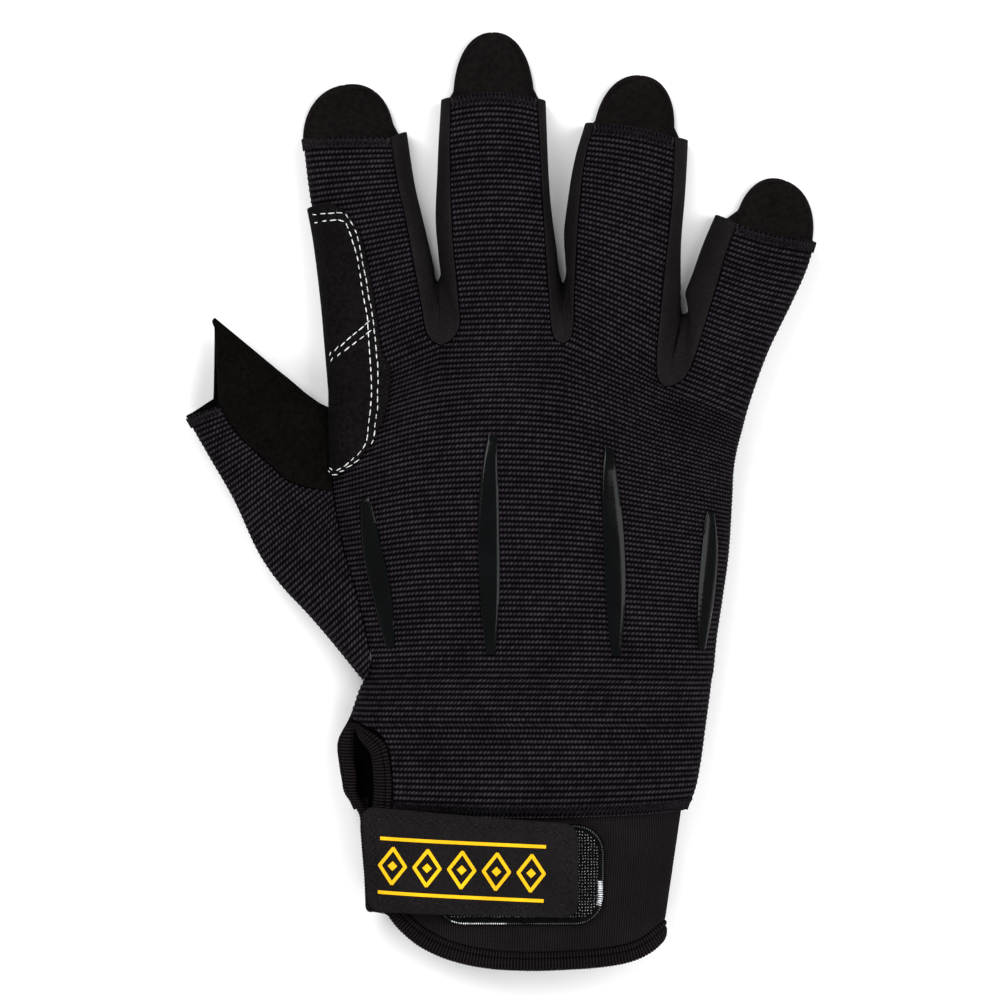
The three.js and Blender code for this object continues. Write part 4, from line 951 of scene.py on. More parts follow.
class Plumbing:
    """Adds nodes to a shader, group or geometry tree and links them."""

    def __init__(self, tree: Tree) -> None:
        """Works on the given tree."""
        self.tree = tree

    def feed(self, socket: Socket, value: object) -> None:
        """Links an output to a socket, or sets the socket's own value."""
        if isinstance(value, Socket):
            self.tree.links.new(value, socket)
        else:
            socket.default_value = value

    def add(self, kind: str, inputs: Mapping[str | int, object] | None = None, **settings: object) -> Node:
        """Returns a new node with its settings made and its inputs fed."""
        node = self.tree.nodes.new(kind)
        for name, value in settings.items():
            setattr(node, name, value)
        for key, value in (inputs or {}).items():
            self.feed(node.inputs[key], value)
        return node

    def out(self, kind: str, inputs: Mapping[str | int, object] | None = None, **settings: object) -> Socket:
        """Returns the first output of a new node."""
        return self.add(kind, inputs, **settings).outputs[0]

    def math(self, operation: str, a: object, b: object = 0.0, c: object = 0.0) -> Socket:
        """Returns the result of a Math node."""
        return self.out("ShaderNodeMath", {0: a, 1: b, 2: c}, operation=operation)

    def vector(self, x: object, y: object, z: object = 0.0) -> Socket:
        """Returns a vector made of three numbers."""
        return self.out("ShaderNodeCombineXYZ", {0: x, 1: y, 2: z})

    def parts(self, vector: Socket) -> Outputs:
        """Returns a vector's three numbers."""
        return self.add("ShaderNodeSeparateXYZ", {0: vector}).outputs

    def mix_colour(self, share: object, first: object, second: object) -> Socket:
        """Returns a mix of two colours."""
        node = self.add("ShaderNodeMix", data_type="RGBA")
        for index, value in ((0, share), (6, first), (7, second)):
            self.feed(node.inputs[index], rgba(value) if isinstance(value, tuple) else value)
        return node.outputs[2]

    def scale_colour(self, colour: object, amount: object) -> Socket:
        """Returns a colour made brighter or darker by a number that changes over the surface."""
        return self.out("ShaderNodeVectorMath", {0: colour, "Scale": amount}, operation="SCALE")


def rgba(colour: Sequence[float]) -> tuple[float, ...]:
    """Returns a colour with full alpha."""
    return (*colour[:3], 1.0)


FLOAT = "NodeSocketFloat"
MESH = {"Geometry": "NodeSocketGeometry"}


def open_tree(
    name: str, kind: str, given: Mapping[str, str], made: Mapping[str, str]
) -> tuple[Tree, Plumbing, Outputs]:
    """Returns a new node group with its sockets made.

    Args:
        name: The group's name.
        kind: The tree's type.
        given: The types of its inputs by their names.
        made: The types of its outputs by their names.

    Returns:
        The tree, its plumbing and what its group input hands in.
    """
    tree = bpy.data.node_groups.new(name, kind)
    for direction, sockets in (("OUTPUT", made), ("INPUT", given)):
        for label, socket in sockets.items():
            tree.interface.new_socket(label, in_out=direction, socket_type=socket)
    work = Plumbing(tree)
    return tree, work, work.add("NodeGroupInput").outputs


class Effects:
    """The shader node groups that several finishes share, each built once."""

    @cached_property
    def yarn(self) -> Tree:
        """Ribs of separate slanted loops, each of its own brightness: their height over the cloth, which the
        finishes also use to paint shade into the troughs.
        """
        names = ("Across", "Along", "Rib Pitch", "Loop Pitch", "Slant", "Loop Depth", "Uneven")
        given = dict.fromkeys(names, FLOAT)
        tree, work, inputs = open_tree("yarn_ribs", "ShaderNodeTree", given, {"Height": FLOAT})
        place = work.vector(inputs["Across"], inputs["Along"])
        wobble = work.out("ShaderNodeTexNoise", {"Vector": place, "Scale": 0.33, "Detail": 2.0})
        rib = work.math("ADD", work.math("DIVIDE", inputs["Along"], inputs["Rib Pitch"]), 0.5)
        course, inside = work.math("FLOOR", rib), work.math("SUBTRACT", work.math("FRACT", rib), 0.5)
        phase = work.math("DIVIDE", inputs["Across"], inputs["Loop Pitch"])
        phase = work.math("MULTIPLY_ADD", inside, inputs["Slant"], phase)
        phase = work.math("MULTIPLY_ADD", course, 0.08, phase)
        phase = work.math("MULTIPLY_ADD", wobble, 0.7, phase)
        swell, loop = (
            work.math("MULTIPLY_ADD", work.math("COSINE", work.math("MULTIPLY", turn, 2 * math.pi)), 0.5, 0.5)
            for turn in (inside, phase)
        )
        swell = work.math("POWER", swell, 1.5)
        fill = work.math("SUBTRACT", 1.0, inputs["Loop Depth"])
        loop = work.math("MULTIPLY_ADD", loop, inputs["Loop Depth"], fill)
        own = work.vector(work.math("ROUND", phase), course)
        chance = work.add("ShaderNodeTexWhiteNoise", {"Vector": own}, noise_dimensions="2D").outputs["Value"]
        shade = work.math("MULTIPLY", work.math("SUBTRACT", chance, 0.5), inputs["Uneven"])
        height = work.math("MULTIPLY", work.math("MULTIPLY", swell, loop), work.math("ADD", shade, 1.0))
        work.add("NodeGroupOutput", {"Height": height})
        return tree

    @cached_property
    def mottle(self) -> Tree:
        """Uneven fibre: a value between two limits that varies at one size."""
        given = {"Vector": "NodeSocketVector", **dict.fromkeys(("Per Metre", "Detail", "Low", "High"), FLOAT)}
        tree, work, inputs = open_tree("fibre_mottle", "ShaderNodeTree", given, {"Value": FLOAT})
        noise = work.out("ShaderNodeTexNoise", {
            "Vector": inputs["Vector"], "Scale": inputs["Per Metre"], "Detail": inputs["Detail"],
        })
        low, high = inputs["Low"], inputs["High"]
        value = work.out("ShaderNodeMapRange", {0: noise, 1: 0.3, 2: 0.7, 3: low, 4: high})
        work.add("NodeGroupOutput", {"Value": value})
        return tree

    def mottled(
        self, work: Plumbing, coordinates: Node, per_metre: float, detail: float, low: float, high: float
    ) -> Socket:
        """Returns a value that varies over the piece between two limits."""
        return work.out("ShaderNodeGroup", {
            "Vector": coordinates.outputs["Object"], "Per Metre": per_metre, "Detail": detail, "Low": low,
            "High": high,
        }, node_tree=self.mottle)


@dataclass(frozen=True)
class Finish:
    """A surface finish: its colours, gloss and grain. Each kind of cloth adds its own pattern."""

    name: str
    dark: Colour
    light: Colour
    roughness: float = 0.9
    specular: float = 0.02
    bump: float = 0.1
    grain: float = 900.0

    def pattern(self, work: Plumbing, effects: Effects, coordinates: Node) -> Socket:
        """Returns the height of the surface's own pattern, from 0 to 1."""
        return effects.mottled(work, coordinates, self.grain, 6.0, 0.0, 1.0)

    def material(self, effects: Effects) -> Material:
        """Returns the finished material."""
        material = bpy.data.materials.new(self.name)
        material.use_nodes = True
        work = Plumbing(material.node_tree)
        shader = material.node_tree.nodes["Principled BSDF"]
        coordinates = work.add("ShaderNodeTexCoord")
        height = self.pattern(work, effects, coordinates)
        patches = effects.mottled(work, coordinates, 90.0, 3.0, 0.82, 1.18)
        # The colour runs from dark where the pattern is low to light where it is high: on ribbed cloth the dark
        # troughs between ribs and loops are painted shade, and on hooks and beads the light patches are painted
        # highlights.
        colour = work.scale_colour(work.mix_colour(height, self.dark, self.light), patches)
        work.feed(shader.inputs["Base Color"], colour)
        bump = work.out("ShaderNodeBump", {"Strength": 1.0, "Distance": self.bump * MM, "Height": height})
        work.feed(shader.inputs["Normal"], bump)
        shader.inputs["Roughness"].default_value = self.roughness
        shader.inputs["Specular IOR Level"].default_value = self.specular
        return material


@dataclass(frozen=True)
class RibbedFinish(Finish):
    """Cloth whose ribs of loops follow the piece's own pattern coordinates, with painted shade in the troughs
    between them.
    """

    rib_pitch: float = 1.37
    loop_pitch: float = 1.0
    slant: float = 0.6
    loop_depth: float = 0.5
    uneven: float = 0.2
    turned: bool = False
    fibre: float = 0.35

    def pattern(self, work: Plumbing, effects: Effects, coordinates: Node) -> Socket:
        """Returns the ribs' height, made uneven by the fibre's grain."""
        parts = work.parts(coordinates.outputs["UV"])
        across, along = (parts[1], parts[0]) if self.turned else (parts[0], parts[1])
        height = work.out("ShaderNodeGroup", {
            "Across": across, "Along": along, "Rib Pitch": self.rib_pitch, "Loop Pitch": self.loop_pitch,
            "Slant": self.slant, "Loop Depth": self.loop_depth, "Uneven": self.uneven,
        }, node_tree=effects.yarn)
        grain = super().pattern(work, effects, coordinates)
        uneven = work.math("MULTIPLY_ADD", grain, self.fibre, 1 - self.fibre / 2)
        return work.math("MULTIPLY", height, uneven)


@dataclass(frozen=True)
class Palette:
    """Every finish of the glove, with colours as linear light."""

    # In the ribbed finishes (knit, jersey, tape) the dark colour is painted shade in the troughs between ribs and
    # loops; the light colour is the yarn at the crests.
    knit: RibbedFinish = RibbedFinish(
        "ribbed_knit", (0.0007, 0.0005, 0.0009), (0.0375, 0.0305, 0.0395), bump=0.22, grain=1500.0, slant=-0.6,
        loop_depth=0.85, uneven=0.9,
    )
    suede: Finish = Finish("napped_suede", (0.0045, 0.0034, 0.0035), (0.0088, 0.0069, 0.007), bump=0.09)
    # The thumb's suede is the palm's suede made darker: painted shade of the thumb's shadowed side.
    thumb_suede: Finish = Finish("dark_suede", (0.0013, 0.0011, 0.001), (0.0034, 0.003, 0.0026))
    patch_suede: Finish = Finish("patch_suede", (0.0025, 0.0021, 0.0022), (0.0064, 0.0054, 0.0057), bump=0.12)
    wall: Finish = Finish(
        "side_wall_cloth", (0.0065, 0.0057, 0.006), (0.0115, 0.0098, 0.0106), bump=0.05, grain=1600.0,
    )
    jersey: RibbedFinish = RibbedFinish(
        "cuff_jersey", (0.0040, 0.0032, 0.0035), (0.0135, 0.0108, 0.0117), bump=0.06, rib_pitch=0.62,
        loop_pitch=0.8, slant=0.3, loop_depth=0.35, turned=True, grain=1800.0,
    )
    tape: RibbedFinish = RibbedFinish(
        "binding_tape", (0.0020, 0.0014, 0.0016), (0.0150, 0.0115, 0.0127), rib_pitch=0.78, loop_pitch=1.1,
        slant=0.2, loop_depth=0.25, grain=1800.0,
    )
    strap: Finish = Finish(
        "brushed_strap", (0.0065, 0.0056, 0.006), (0.0115, 0.0102, 0.0107), bump=0.06, grain=1500.0,
    )
    film: Finish = Finish(
        "gel_print", (0.0008, 0.001, 0.0012), (0.0016, 0.0019, 0.0022), 0.13, 0.12, bump=0.03, grain=160.0,
    )
    hooks: Finish = Finish(
        "hook_film", (0.0008, 0.0008, 0.0009), (0.003, 0.003, 0.0034), 0.2, 0.05, bump=0.03, grain=700.0,
    )
    # Hooks mottled from dark grey to near white: painted highlights of their glossy heads on the black pad.
    hook_tips: Finish = Finish(
        "hook_tips", (0.02, 0.022, 0.024), (0.36, 0.37, 0.39), 0.35, 0.4, bump=0.02, grain=500.0,
    )
    # The beads' dark colour is the film's own black; their lighter mottled patches are painted highlights.
    bead_film: Finish = Finish(
        "bead_film", (0.002, 0.0022, 0.0026), (0.08, 0.084, 0.09), 0.15, 0.4, bump=0.02, grain=250.0,
    )
    # Near-white beads: painted highlights of the glossy edge at the pad's right side and bottom.
    bead_glint: Finish = Finish(
        "bead_glint", (0.12, 0.13, 0.14), (0.9, 0.92, 0.95), 0.2, 0.5, bump=0.02, grain=600.0,
    )
    white_thread: Finish = Finish(
        "white_thread", (0.5, 0.5, 0.49), (0.8, 0.8, 0.78), 0.6, 0.3, bump=0.03, grain=2500.0,
    )
    dark_thread: Finish = Finish(
        "dark_thread", (0.004, 0.0033, 0.004), (0.03, 0.026, 0.03), 0.7, bump=0.03, grain=2500.0,
    )
    tone_thread: Finish = Finish(
        "tone_thread", (0.003, 0.0026, 0.0027), (0.03, 0.027, 0.029), 0.7, bump=0.03, grain=2500.0,
    )
    yellow: Finish = Finish(
        "yellow_print", (0.80, 0.42, 0.004), (0.87, 0.47, 0.008), 0.55, 0.1, bump=0.02, grain=1500.0,
    )


class Motif(Enum):
    """The small shape that a scatter repeats."""

    STITCH = "stitch"
    BEAD = "bead"
    HOOK = "hook"
    BLOCK = "block"


class Grower:
    """Geometry Nodes trees for what repeats or follows a path, run and turned into plain meshes."""

    sockets = {**MESH, "Length": FLOAT, "Width": FLOAT, "Height": FLOAT, "Finish": "NodeSocketMaterial"}

    def finish_tree(self, work: Plumbing, geometry: object, material: object) -> None:
        """Ends a tree: realizes its instances, shades them smooth and sets their material."""
        real = work.out("GeometryNodeRealizeInstances", {0: geometry})
        even = work.out("GeometryNodeSetShadeSmooth", {0: real})
        dressed = work.out("GeometryNodeSetMaterial", {"Geometry": even, "Material": material})
        work.add("NodeGroupOutput", {0: dressed})

    def motif(self, work: Plumbing, motif: Motif) -> Socket:
        """Returns the mesh of one motif, one unit long, wide and high."""
        if motif is Motif.BLOCK:
            return work.add("GeometryNodeMeshCube").outputs["Mesh"]
        if motif is Motif.HOOK:
            stem = work.out("GeometryNodeMeshCone", {
                "Vertices": 5, "Radius Top": 0.22, "Radius Bottom": 0.34, "Depth": 0.8,
            })
            head = work.out("GeometryNodeMeshUVSphere", {"Segments": 6, "Rings": 4, "Radius": 0.5})
            raised = work.out("GeometryNodeTransform", {"Geometry": head, "Translation": (0, 0, 0.85)})
            joined = work.add("GeometryNodeJoinGeometry")
            for part in (stem, raised):
                work.tree.links.new(part, joined.inputs[0])
            return joined.outputs[0]
        rings = 6 if motif is Motif.STITCH else 5
        return work.out("GeometryNodeMeshUVSphere", {"Segments": 8, "Rings": rings, "Radius": 0.5})

    def placed(self, work: Plumbing, given: Outputs, motif: Motif) -> Socket:
        """Returns one motif on each point, turned and sized by the point's own attributes."""
        size = work.vector(given["Length"], given["Width"], given["Height"])
        shape = work.out("GeometryNodeTransform", {"Geometry": self.motif(work, motif), "Scale": size})
        turn, grow = (
            work.out("GeometryNodeInputNamedAttribute", {"Name": name}, data_type="FLOAT_VECTOR")
            for name in ("turn", "grow")
        )
        rotation = work.out("FunctionNodeEulerToRotation", {0: turn})
        return work.out("GeometryNodeInstanceOnPoints", {
            "Points": given["Geometry"], "Instance": shape, "Rotation": rotation, "Scale": grow,
        })

    def scatter_tree(self, motif: Motif) -> Tree:
        """Returns a tree that sets one motif on each point."""
        tree, work, given = open_tree("scatter_" + motif.value, "GeometryNodeTree", self.sockets, MESH)
        self.finish_tree(work, self.placed(work, given, motif), given["Finish"])
        return tree

    def thread_tree(self) -> Tree:
        """Returns a tree that lays a round thread along each line of edges."""
        sockets = {**MESH, "Radius": FLOAT, "Finish": self.sockets["Finish"]}
        tree, work, given = open_tree("thread", "GeometryNodeTree", sockets, MESH)
        line = work.out("GeometryNodeMeshToCurve", {0: given["Geometry"]})
        ring = work.out("GeometryNodeCurvePrimitiveCircle", {"Resolution": 6, "Radius": given["Radius"]})
        tube = work.out("GeometryNodeCurveToMesh", {"Curve": line, "Profile Curve": ring, "Fill Caps": True})
        self.finish_tree(work, tube, given["Finish"])
        return tree

    def print_tree(self) -> Tree:
        """Returns a tree that lays flat blocks on the surface below them, as a print."""
        sockets = {**self.sockets, "Ground": "NodeSocketObject"}
        tree, work, given = open_tree("laid_print", "GeometryNodeTree", sockets, MESH)
        real = work.out("GeometryNodeRealizeInstances", {0: self.placed(work, given, Motif.BLOCK)})
        fine = work.out("GeometryNodeSubdivideMesh", {"Mesh": real, "Level": 2})
        ground = work.add("GeometryNodeObjectInfo", {"Object": given["Ground"]}).outputs["Geometry"]
        parts = work.parts(work.out("GeometryNodeInputPosition"))
        above = work.vector(parts[0], parts[1], 0.1)
        cast = work.add("GeometryNodeRaycast", {
            "Target Geometry": ground, "Source Position": above, "Ray Direction": (0, 0, -1),
            "Ray Length": 0.2,
        })
        height = work.math("ADD", work.parts(cast.outputs["Hit Position"])[2], parts[2])
        lowered = work.vector(parts[0], parts[1], height)
        laid = work.out("GeometryNodeSetPosition", {"Geometry": fine, "Position": lowered})
        dressed = work.out("GeometryNodeSetMaterial", {"Geometry": laid, "Material": given["Finish"]})
        work.add("NodeGroupOutput", {0: dressed})
        return tree

    def grow(self, name: str, seed: Mesh, tree: Tree, inputs: Mapping[str, object]) -> Mesh:
        """Runs a tree on a seed mesh and returns the result as a plain mesh.

        Args:
            name: The new mesh's name.
            seed: The points or edges that the tree starts from.
            tree: The geometry tree.
            inputs: The tree's inputs by their names.

        Returns:
            The plain mesh.
        """
        carrier = in_scene(name + "_seed", seed)
        modifier = carrier.modifiers.new("grow", "NODES")
        modifier.node_group = tree
        for item in tree.interface.items_tree:
            if item.item_type == "SOCKET" and item.in_out == "INPUT" and item.name in inputs:
                modifier[item.identifier] = inputs[item.name]
        graph = bpy.context.evaluated_depsgraph_get()
        mesh = bpy.data.meshes.new_from_object(carrier.evaluated_get(graph), depsgraph=graph)
        carrier.modifiers.remove(modifier)
        bpy.data.objects.remove(carrier)
        mesh.name = name
        if not mesh.materials:
            mesh.materials.append(inputs["Finish"])
        return mesh


def seed_points(points: Array, turns: Array | None = None, grows: Array | None = None) -> Mesh:
    """Returns a mesh of loose points in metres, with each point's turn and size as attributes."""
    mesh = bpy.data.meshes.new("seed")
    mesh.from_pydata((points * MM).tolist(), [], [])
    turns = np.zeros_like(points) if turns is None else turns
    grows = np.ones_like(points) if grows is None else grows
    for name, values in (("turn", turns), ("grow", grows)):
        layer = mesh.attributes.new(name, "FLOAT_VECTOR", "POINT")
        layer.data.foreach_set("vector", values.astype(np.float32).ravel())
    return mesh


def seed_lines(lines: Sequence[Array]) -> Mesh:
    """Returns a mesh of loose polylines in metres."""
    mesh = bpy.data.meshes.new("seed")
    edges, start = [], 0
    for line in lines:
        edges += [(start + k, start + k + 1) for k in range(len(line) - 1)]
        start += len(line)
    mesh.from_pydata((np.concatenate(lines) * MM).tolist(), edges, [])
    return mesh


def turns_of(tangents: Array, normals: Array) -> Array:
    """Returns the Euler turns that lay X along each tangent and Z along each normal."""
    turns = []
    for tangent, normal in zip(tangents, normals):
        x = Vector(tangent).normalized()
        y = Vector(normal).cross(x).normalized()
        z = x.cross(y)
        turns.append(Matrix((x, y, z)).transposed().to_euler())
    return np.array(turns)


def even_places(path: Array, pitch: float) -> tuple[Array, Array]:
    """Returns places a pitch apart along a path of points, and the path's direction at each."""
    run = run_along(path)
    count = max(2, int(round(run[-1] / pitch)))
    where = (np.arange(count) + 0.5) / count * run[-1]
    behind, places, ahead = (
        np.stack([np.interp(where + shift, run, column) for column in path.T], axis=1)
        for shift in (-pitch / 4, 0, pitch / 4)
    )
    return places, unit(ahead - behind)


def rounded_path(points: Sequence[tuple[float, float]], steps: int = 12) -> Array:
    """Returns a smooth path through a few plan points."""
    table = np.array(points, float)
    keys = tuple(float(k) for k in range(len(table)))
    where = np.linspace(0, len(table) - 1, (len(table) - 1) * steps + 1)
    return np.stack([Line(keys, tuple(table[:, k]))(where) for k in range(2)], axis=1)


class Ground:
    """A finished surface that stitches are dropped on from above."""

    def __init__(self, points: Array, faces: Array) -> None:
        """Takes the surface in millimetres."""
        self.tree = BVHTree.FromPolygons(points.tolist(), faces.tolist())

    def drop(self, plan: Array, lift: float) -> tuple[Array, Array]:
        """Returns the points on the surface below a plan, lifted off it, and its normals there."""
        places, normals = [], []
        for x, y in plan:
            hit, normal, _, _ = self.tree.ray_cast(Vector((x, y, 60)), Vector((0, 0, -1)))
            if hit is None:
                hit, normal, _, _ = self.tree.find_nearest(Vector((x, y, 10)))
            places.append(hit + normal * lift)
            normals.append(normal)
        return np.array(places), np.array(normals)


def lifted(surface: Surface, a: Array, b: Array, lift: Array | float, step: float = 0.01) -> Array:
    """Returns points just above a surface of two shares, which is seen from its front."""
    across = surface(np.minimum(a + step, 1), b) - surface(np.maximum(a - step, 0), b)
    along = surface(a, np.minimum(b + step, 1)) - surface(a, np.maximum(b - step, 0))
    return surface(a, b) + unit(np.cross(across, along)) * lift


def hem_press(run: Array) -> Array:
    """Returns how far the knit's lower hem is pressed down, from the distance above the cuff seam."""
    return 0.75 * (1 - smooth(run, 0, 4))


@dataclass
class KnitPieces:
    """The ribbed knit: the back of the hand with its fingers, and the thumb's panel."""

    hand: HandForm
    thumb: ThumbForm
    rib_pitch: float = 1.37
    rib_height: float = 0.13
    steps_per_rib: int = 4
    columns_per_step: int = 3
    thumb_columns: int = 25

    def ribs(self, along: Array) -> Array:
        """Returns the ribs' height above the cloth, from the distance along it."""
        return self.rib_height * np.cos(2 * np.pi * along / self.rib_pitch)

    def hand_cloth(self) -> Cloth:
        """Returns the back of the hand and its four fingers as one cloth."""
        hand, step, finer = self.hand, self.rib_pitch / self.steps_per_rib, self.columns_per_step
        c = np.linspace(0, 1, sum(COLUMNS) * finer + 1)
        run = np.append(np.arange(0, hand.palm_length, step), hand.palm_length)
        grid = hand.back(c[None, :], (run / hand.palm_length)[:, None])
        across = row_lengths(grid)
        begin = math.ceil(hand.palm_length / step + 0.2) * step
        fingers, uv = [], [pattern_uv(across, run)]
        for i, finger in enumerate(FINGERS):
            columns, end = COLUMNS[i] * finer + 1, hand.palm_length + finger.length
            reach = np.append(np.arange(begin, end, step), end)
            share = (reach - hand.palm_length) / finger.length
            fingers.append(hand.finger_back(i, np.linspace(0, 1, columns)[None, :], share[:, None]))
            middle = sum(COLUMNS[:i]) * finer + columns // 2
            uv.append(pattern_uv(row_lengths(fingers[-1]) + across[-1, middle], reach))
        points, faces, level = fingered_sheet(grid, fingers, hand.side_seam)
        return Cloth(hand.eased(points), faces, np.concatenate(uv), level)

    def thumb_cloth(self) -> Cloth:
        """Returns the thumb's knit panel."""
        run = np.arange(0, self.thumb.length, self.rib_pitch / self.steps_per_rib)
        run = np.append(run, self.thumb.length)
        share = np.linspace(0, 1, self.thumb_columns)
        grid = self.thumb.back(share[None, :], (run / self.thumb.length)[:, None])
        return Cloth.from_grid(grid, level=(0,), along=run)

    def build(self, shop: Workshop, material: Material) -> None:
        """Makes both knit pieces."""
        for name, cloth in (("hand_back", self.hand_cloth()), ("thumb_back", self.thumb_cloth())):
            relief = self.ribs(cloth.uv[:, 1])
            if name == "hand_back":
                relief = relief - hem_press(cloth.uv[:, 1])
            wall = cloth.wall(self.hand.walls.knit, relief=relief)
            shop.cloth("knit_" + name, wall, "knit", material, name)


@dataclass
class SuedePieces:
    """The suede: the palm with its tongues, the thumb's front and the index patch."""

    hand: HandForm
    thumb: ThumbForm
    patch_keys: tuple[float, ...] = (0.77, 0.785, 0.82, 0.88, 0.95, 1.1, 1.4, 1.56, 1.65, 1.7, 1.73)
    patch_start: tuple[float, ...] = (0.1, 0.06, 0.05, 0.02, 0, 0, 0, 0, 0, 0, 0)
    patch_reach: tuple[float, ...] = (0.14, 0.37, 0.54, 0.645, 0.67, 0.67, 0.66, 0.63, 0.58, 0.5, 0.4)
    patch_puff: float = 0.25
    patch_grid: tuple[int, int] = (110, 26)
    columns_per_step: int = 2
    foot_rows: int = 18
    join_rows: int = 33
    knuckle_rows: int = 5
    finger_rows: int = 40
    finger_bunch: float = 1.3
    tongue_rows: int = 19
    tongue_end: float = 0.985

    def palm_cloth(self) -> Cloth:
        """Returns the palm, the fronts of the fingers and their tongues as one cloth."""
        hand, finer = self.hand, self.columns_per_step
        c = np.linspace(0, 1, sum(COLUMNS) * finer + 1)
        low = np.linspace(0, hand.foot, self.foot_rows, endpoint=False)
        join = mix(hand.web_join, hand.foot, spread(np.linspace(1, 0, self.join_rows), True, True))
        along = np.concatenate([low, join, np.linspace(hand.web_join, 1, self.knuckle_rows)[1:]])
        to_hem = np.linspace(0, 1, self.finger_rows)[1:] ** self.finger_bunch
        past_hem = 1 + np.linspace(0, self.tongue_end, self.tongue_rows)[1:]
        reach = np.concatenate([to_hem, past_hem])[:, None]
        fingers = [
            hand.finger_palm(i, np.linspace(0, 1, columns * finer + 1)[None, :], reach)
            for i, columns in enumerate(COLUMNS)
        ]
        grid = hand.palm(c[None, :], along[:, None])
        points, faces, level = fingered_sheet(grid, fingers, hand.side_seam, True)
        return Cloth(points, faces, points[:, :2].copy(), level)

    def thumb_cloth(self) -> Cloth:
        """Returns the thumb's suede with its pointed tongue."""
        grid = self.thumb.palm_rows(rows=48, top=12, under=32, tongue=16)
        return Cloth.from_grid(grid, level=(-1,))

    def patch_cloth(self) -> Cloth:
        """Returns the patch round the index finger's side."""
        hand, (rows, columns) = self.hand, self.patch_grid
        t, share = np.linspace(0, 1, rows)[:, None], np.linspace(0, 1, columns)[None, :]
        along = mix(self.patch_keys[0], self.patch_keys[-1], (1 - np.cos(np.pi * t)) / 2)
        start, reach = (Line(self.patch_keys, edge)(along) for edge in (self.patch_start, self.patch_reach))
        across = np.maximum(mix(start, reach, share), 0)
        on_hand = hand.back(across * COLUMNS[0] / sum(COLUMNS), np.minimum(along, 1) * np.ones_like(across))
        on_finger = hand.finger_back(0, across, np.maximum(along - 1, 0))
        grid = np.where((along > 1)[..., None], on_finger, on_hand)
        return Cloth.from_grid(hand.eased(grid), level=(0,))

    def build(self, shop: Workshop, palette: Mapping[str, Material]) -> tuple[Ground, Array]:
        """Makes the suede pieces and returns the patch's surface and the plan of its inner edge."""
        walls = self.hand.walls
        palm, thumb = self.palm_cloth().wall(walls.suede), self.thumb_cloth().wall(walls.suede)
        shop.cloth("suede_palm", palm, "suede", palette["suede"], "palm")
        shop.cloth("suede_thumb", thumb, "suede", palette["thumb_suede"], "thumb_palm")
        patch, (rows, columns) = self.patch_cloth(), self.patch_grid
        from_end = np.minimum(np.linspace(0, 1, rows), 1 - np.linspace(0, 1, rows))[:, None]
        inwards = np.minimum(1 - np.linspace(0, 1, columns)[None, :], from_end * 12)
        puff = self.patch_puff * (smooth(inwards, 0.1, 0.4) - 1).ravel()
        wall = patch.wall(walls.patch, lift=walls.gap + walls.patch, relief=puff)
        shop.cloth("suede_patch", wall, "suede", palette["patch_suede"], "index_patch")
        return Ground(wall[0], wall[1]), patch.points.reshape(rows, columns, 3)[:, -1, :2]


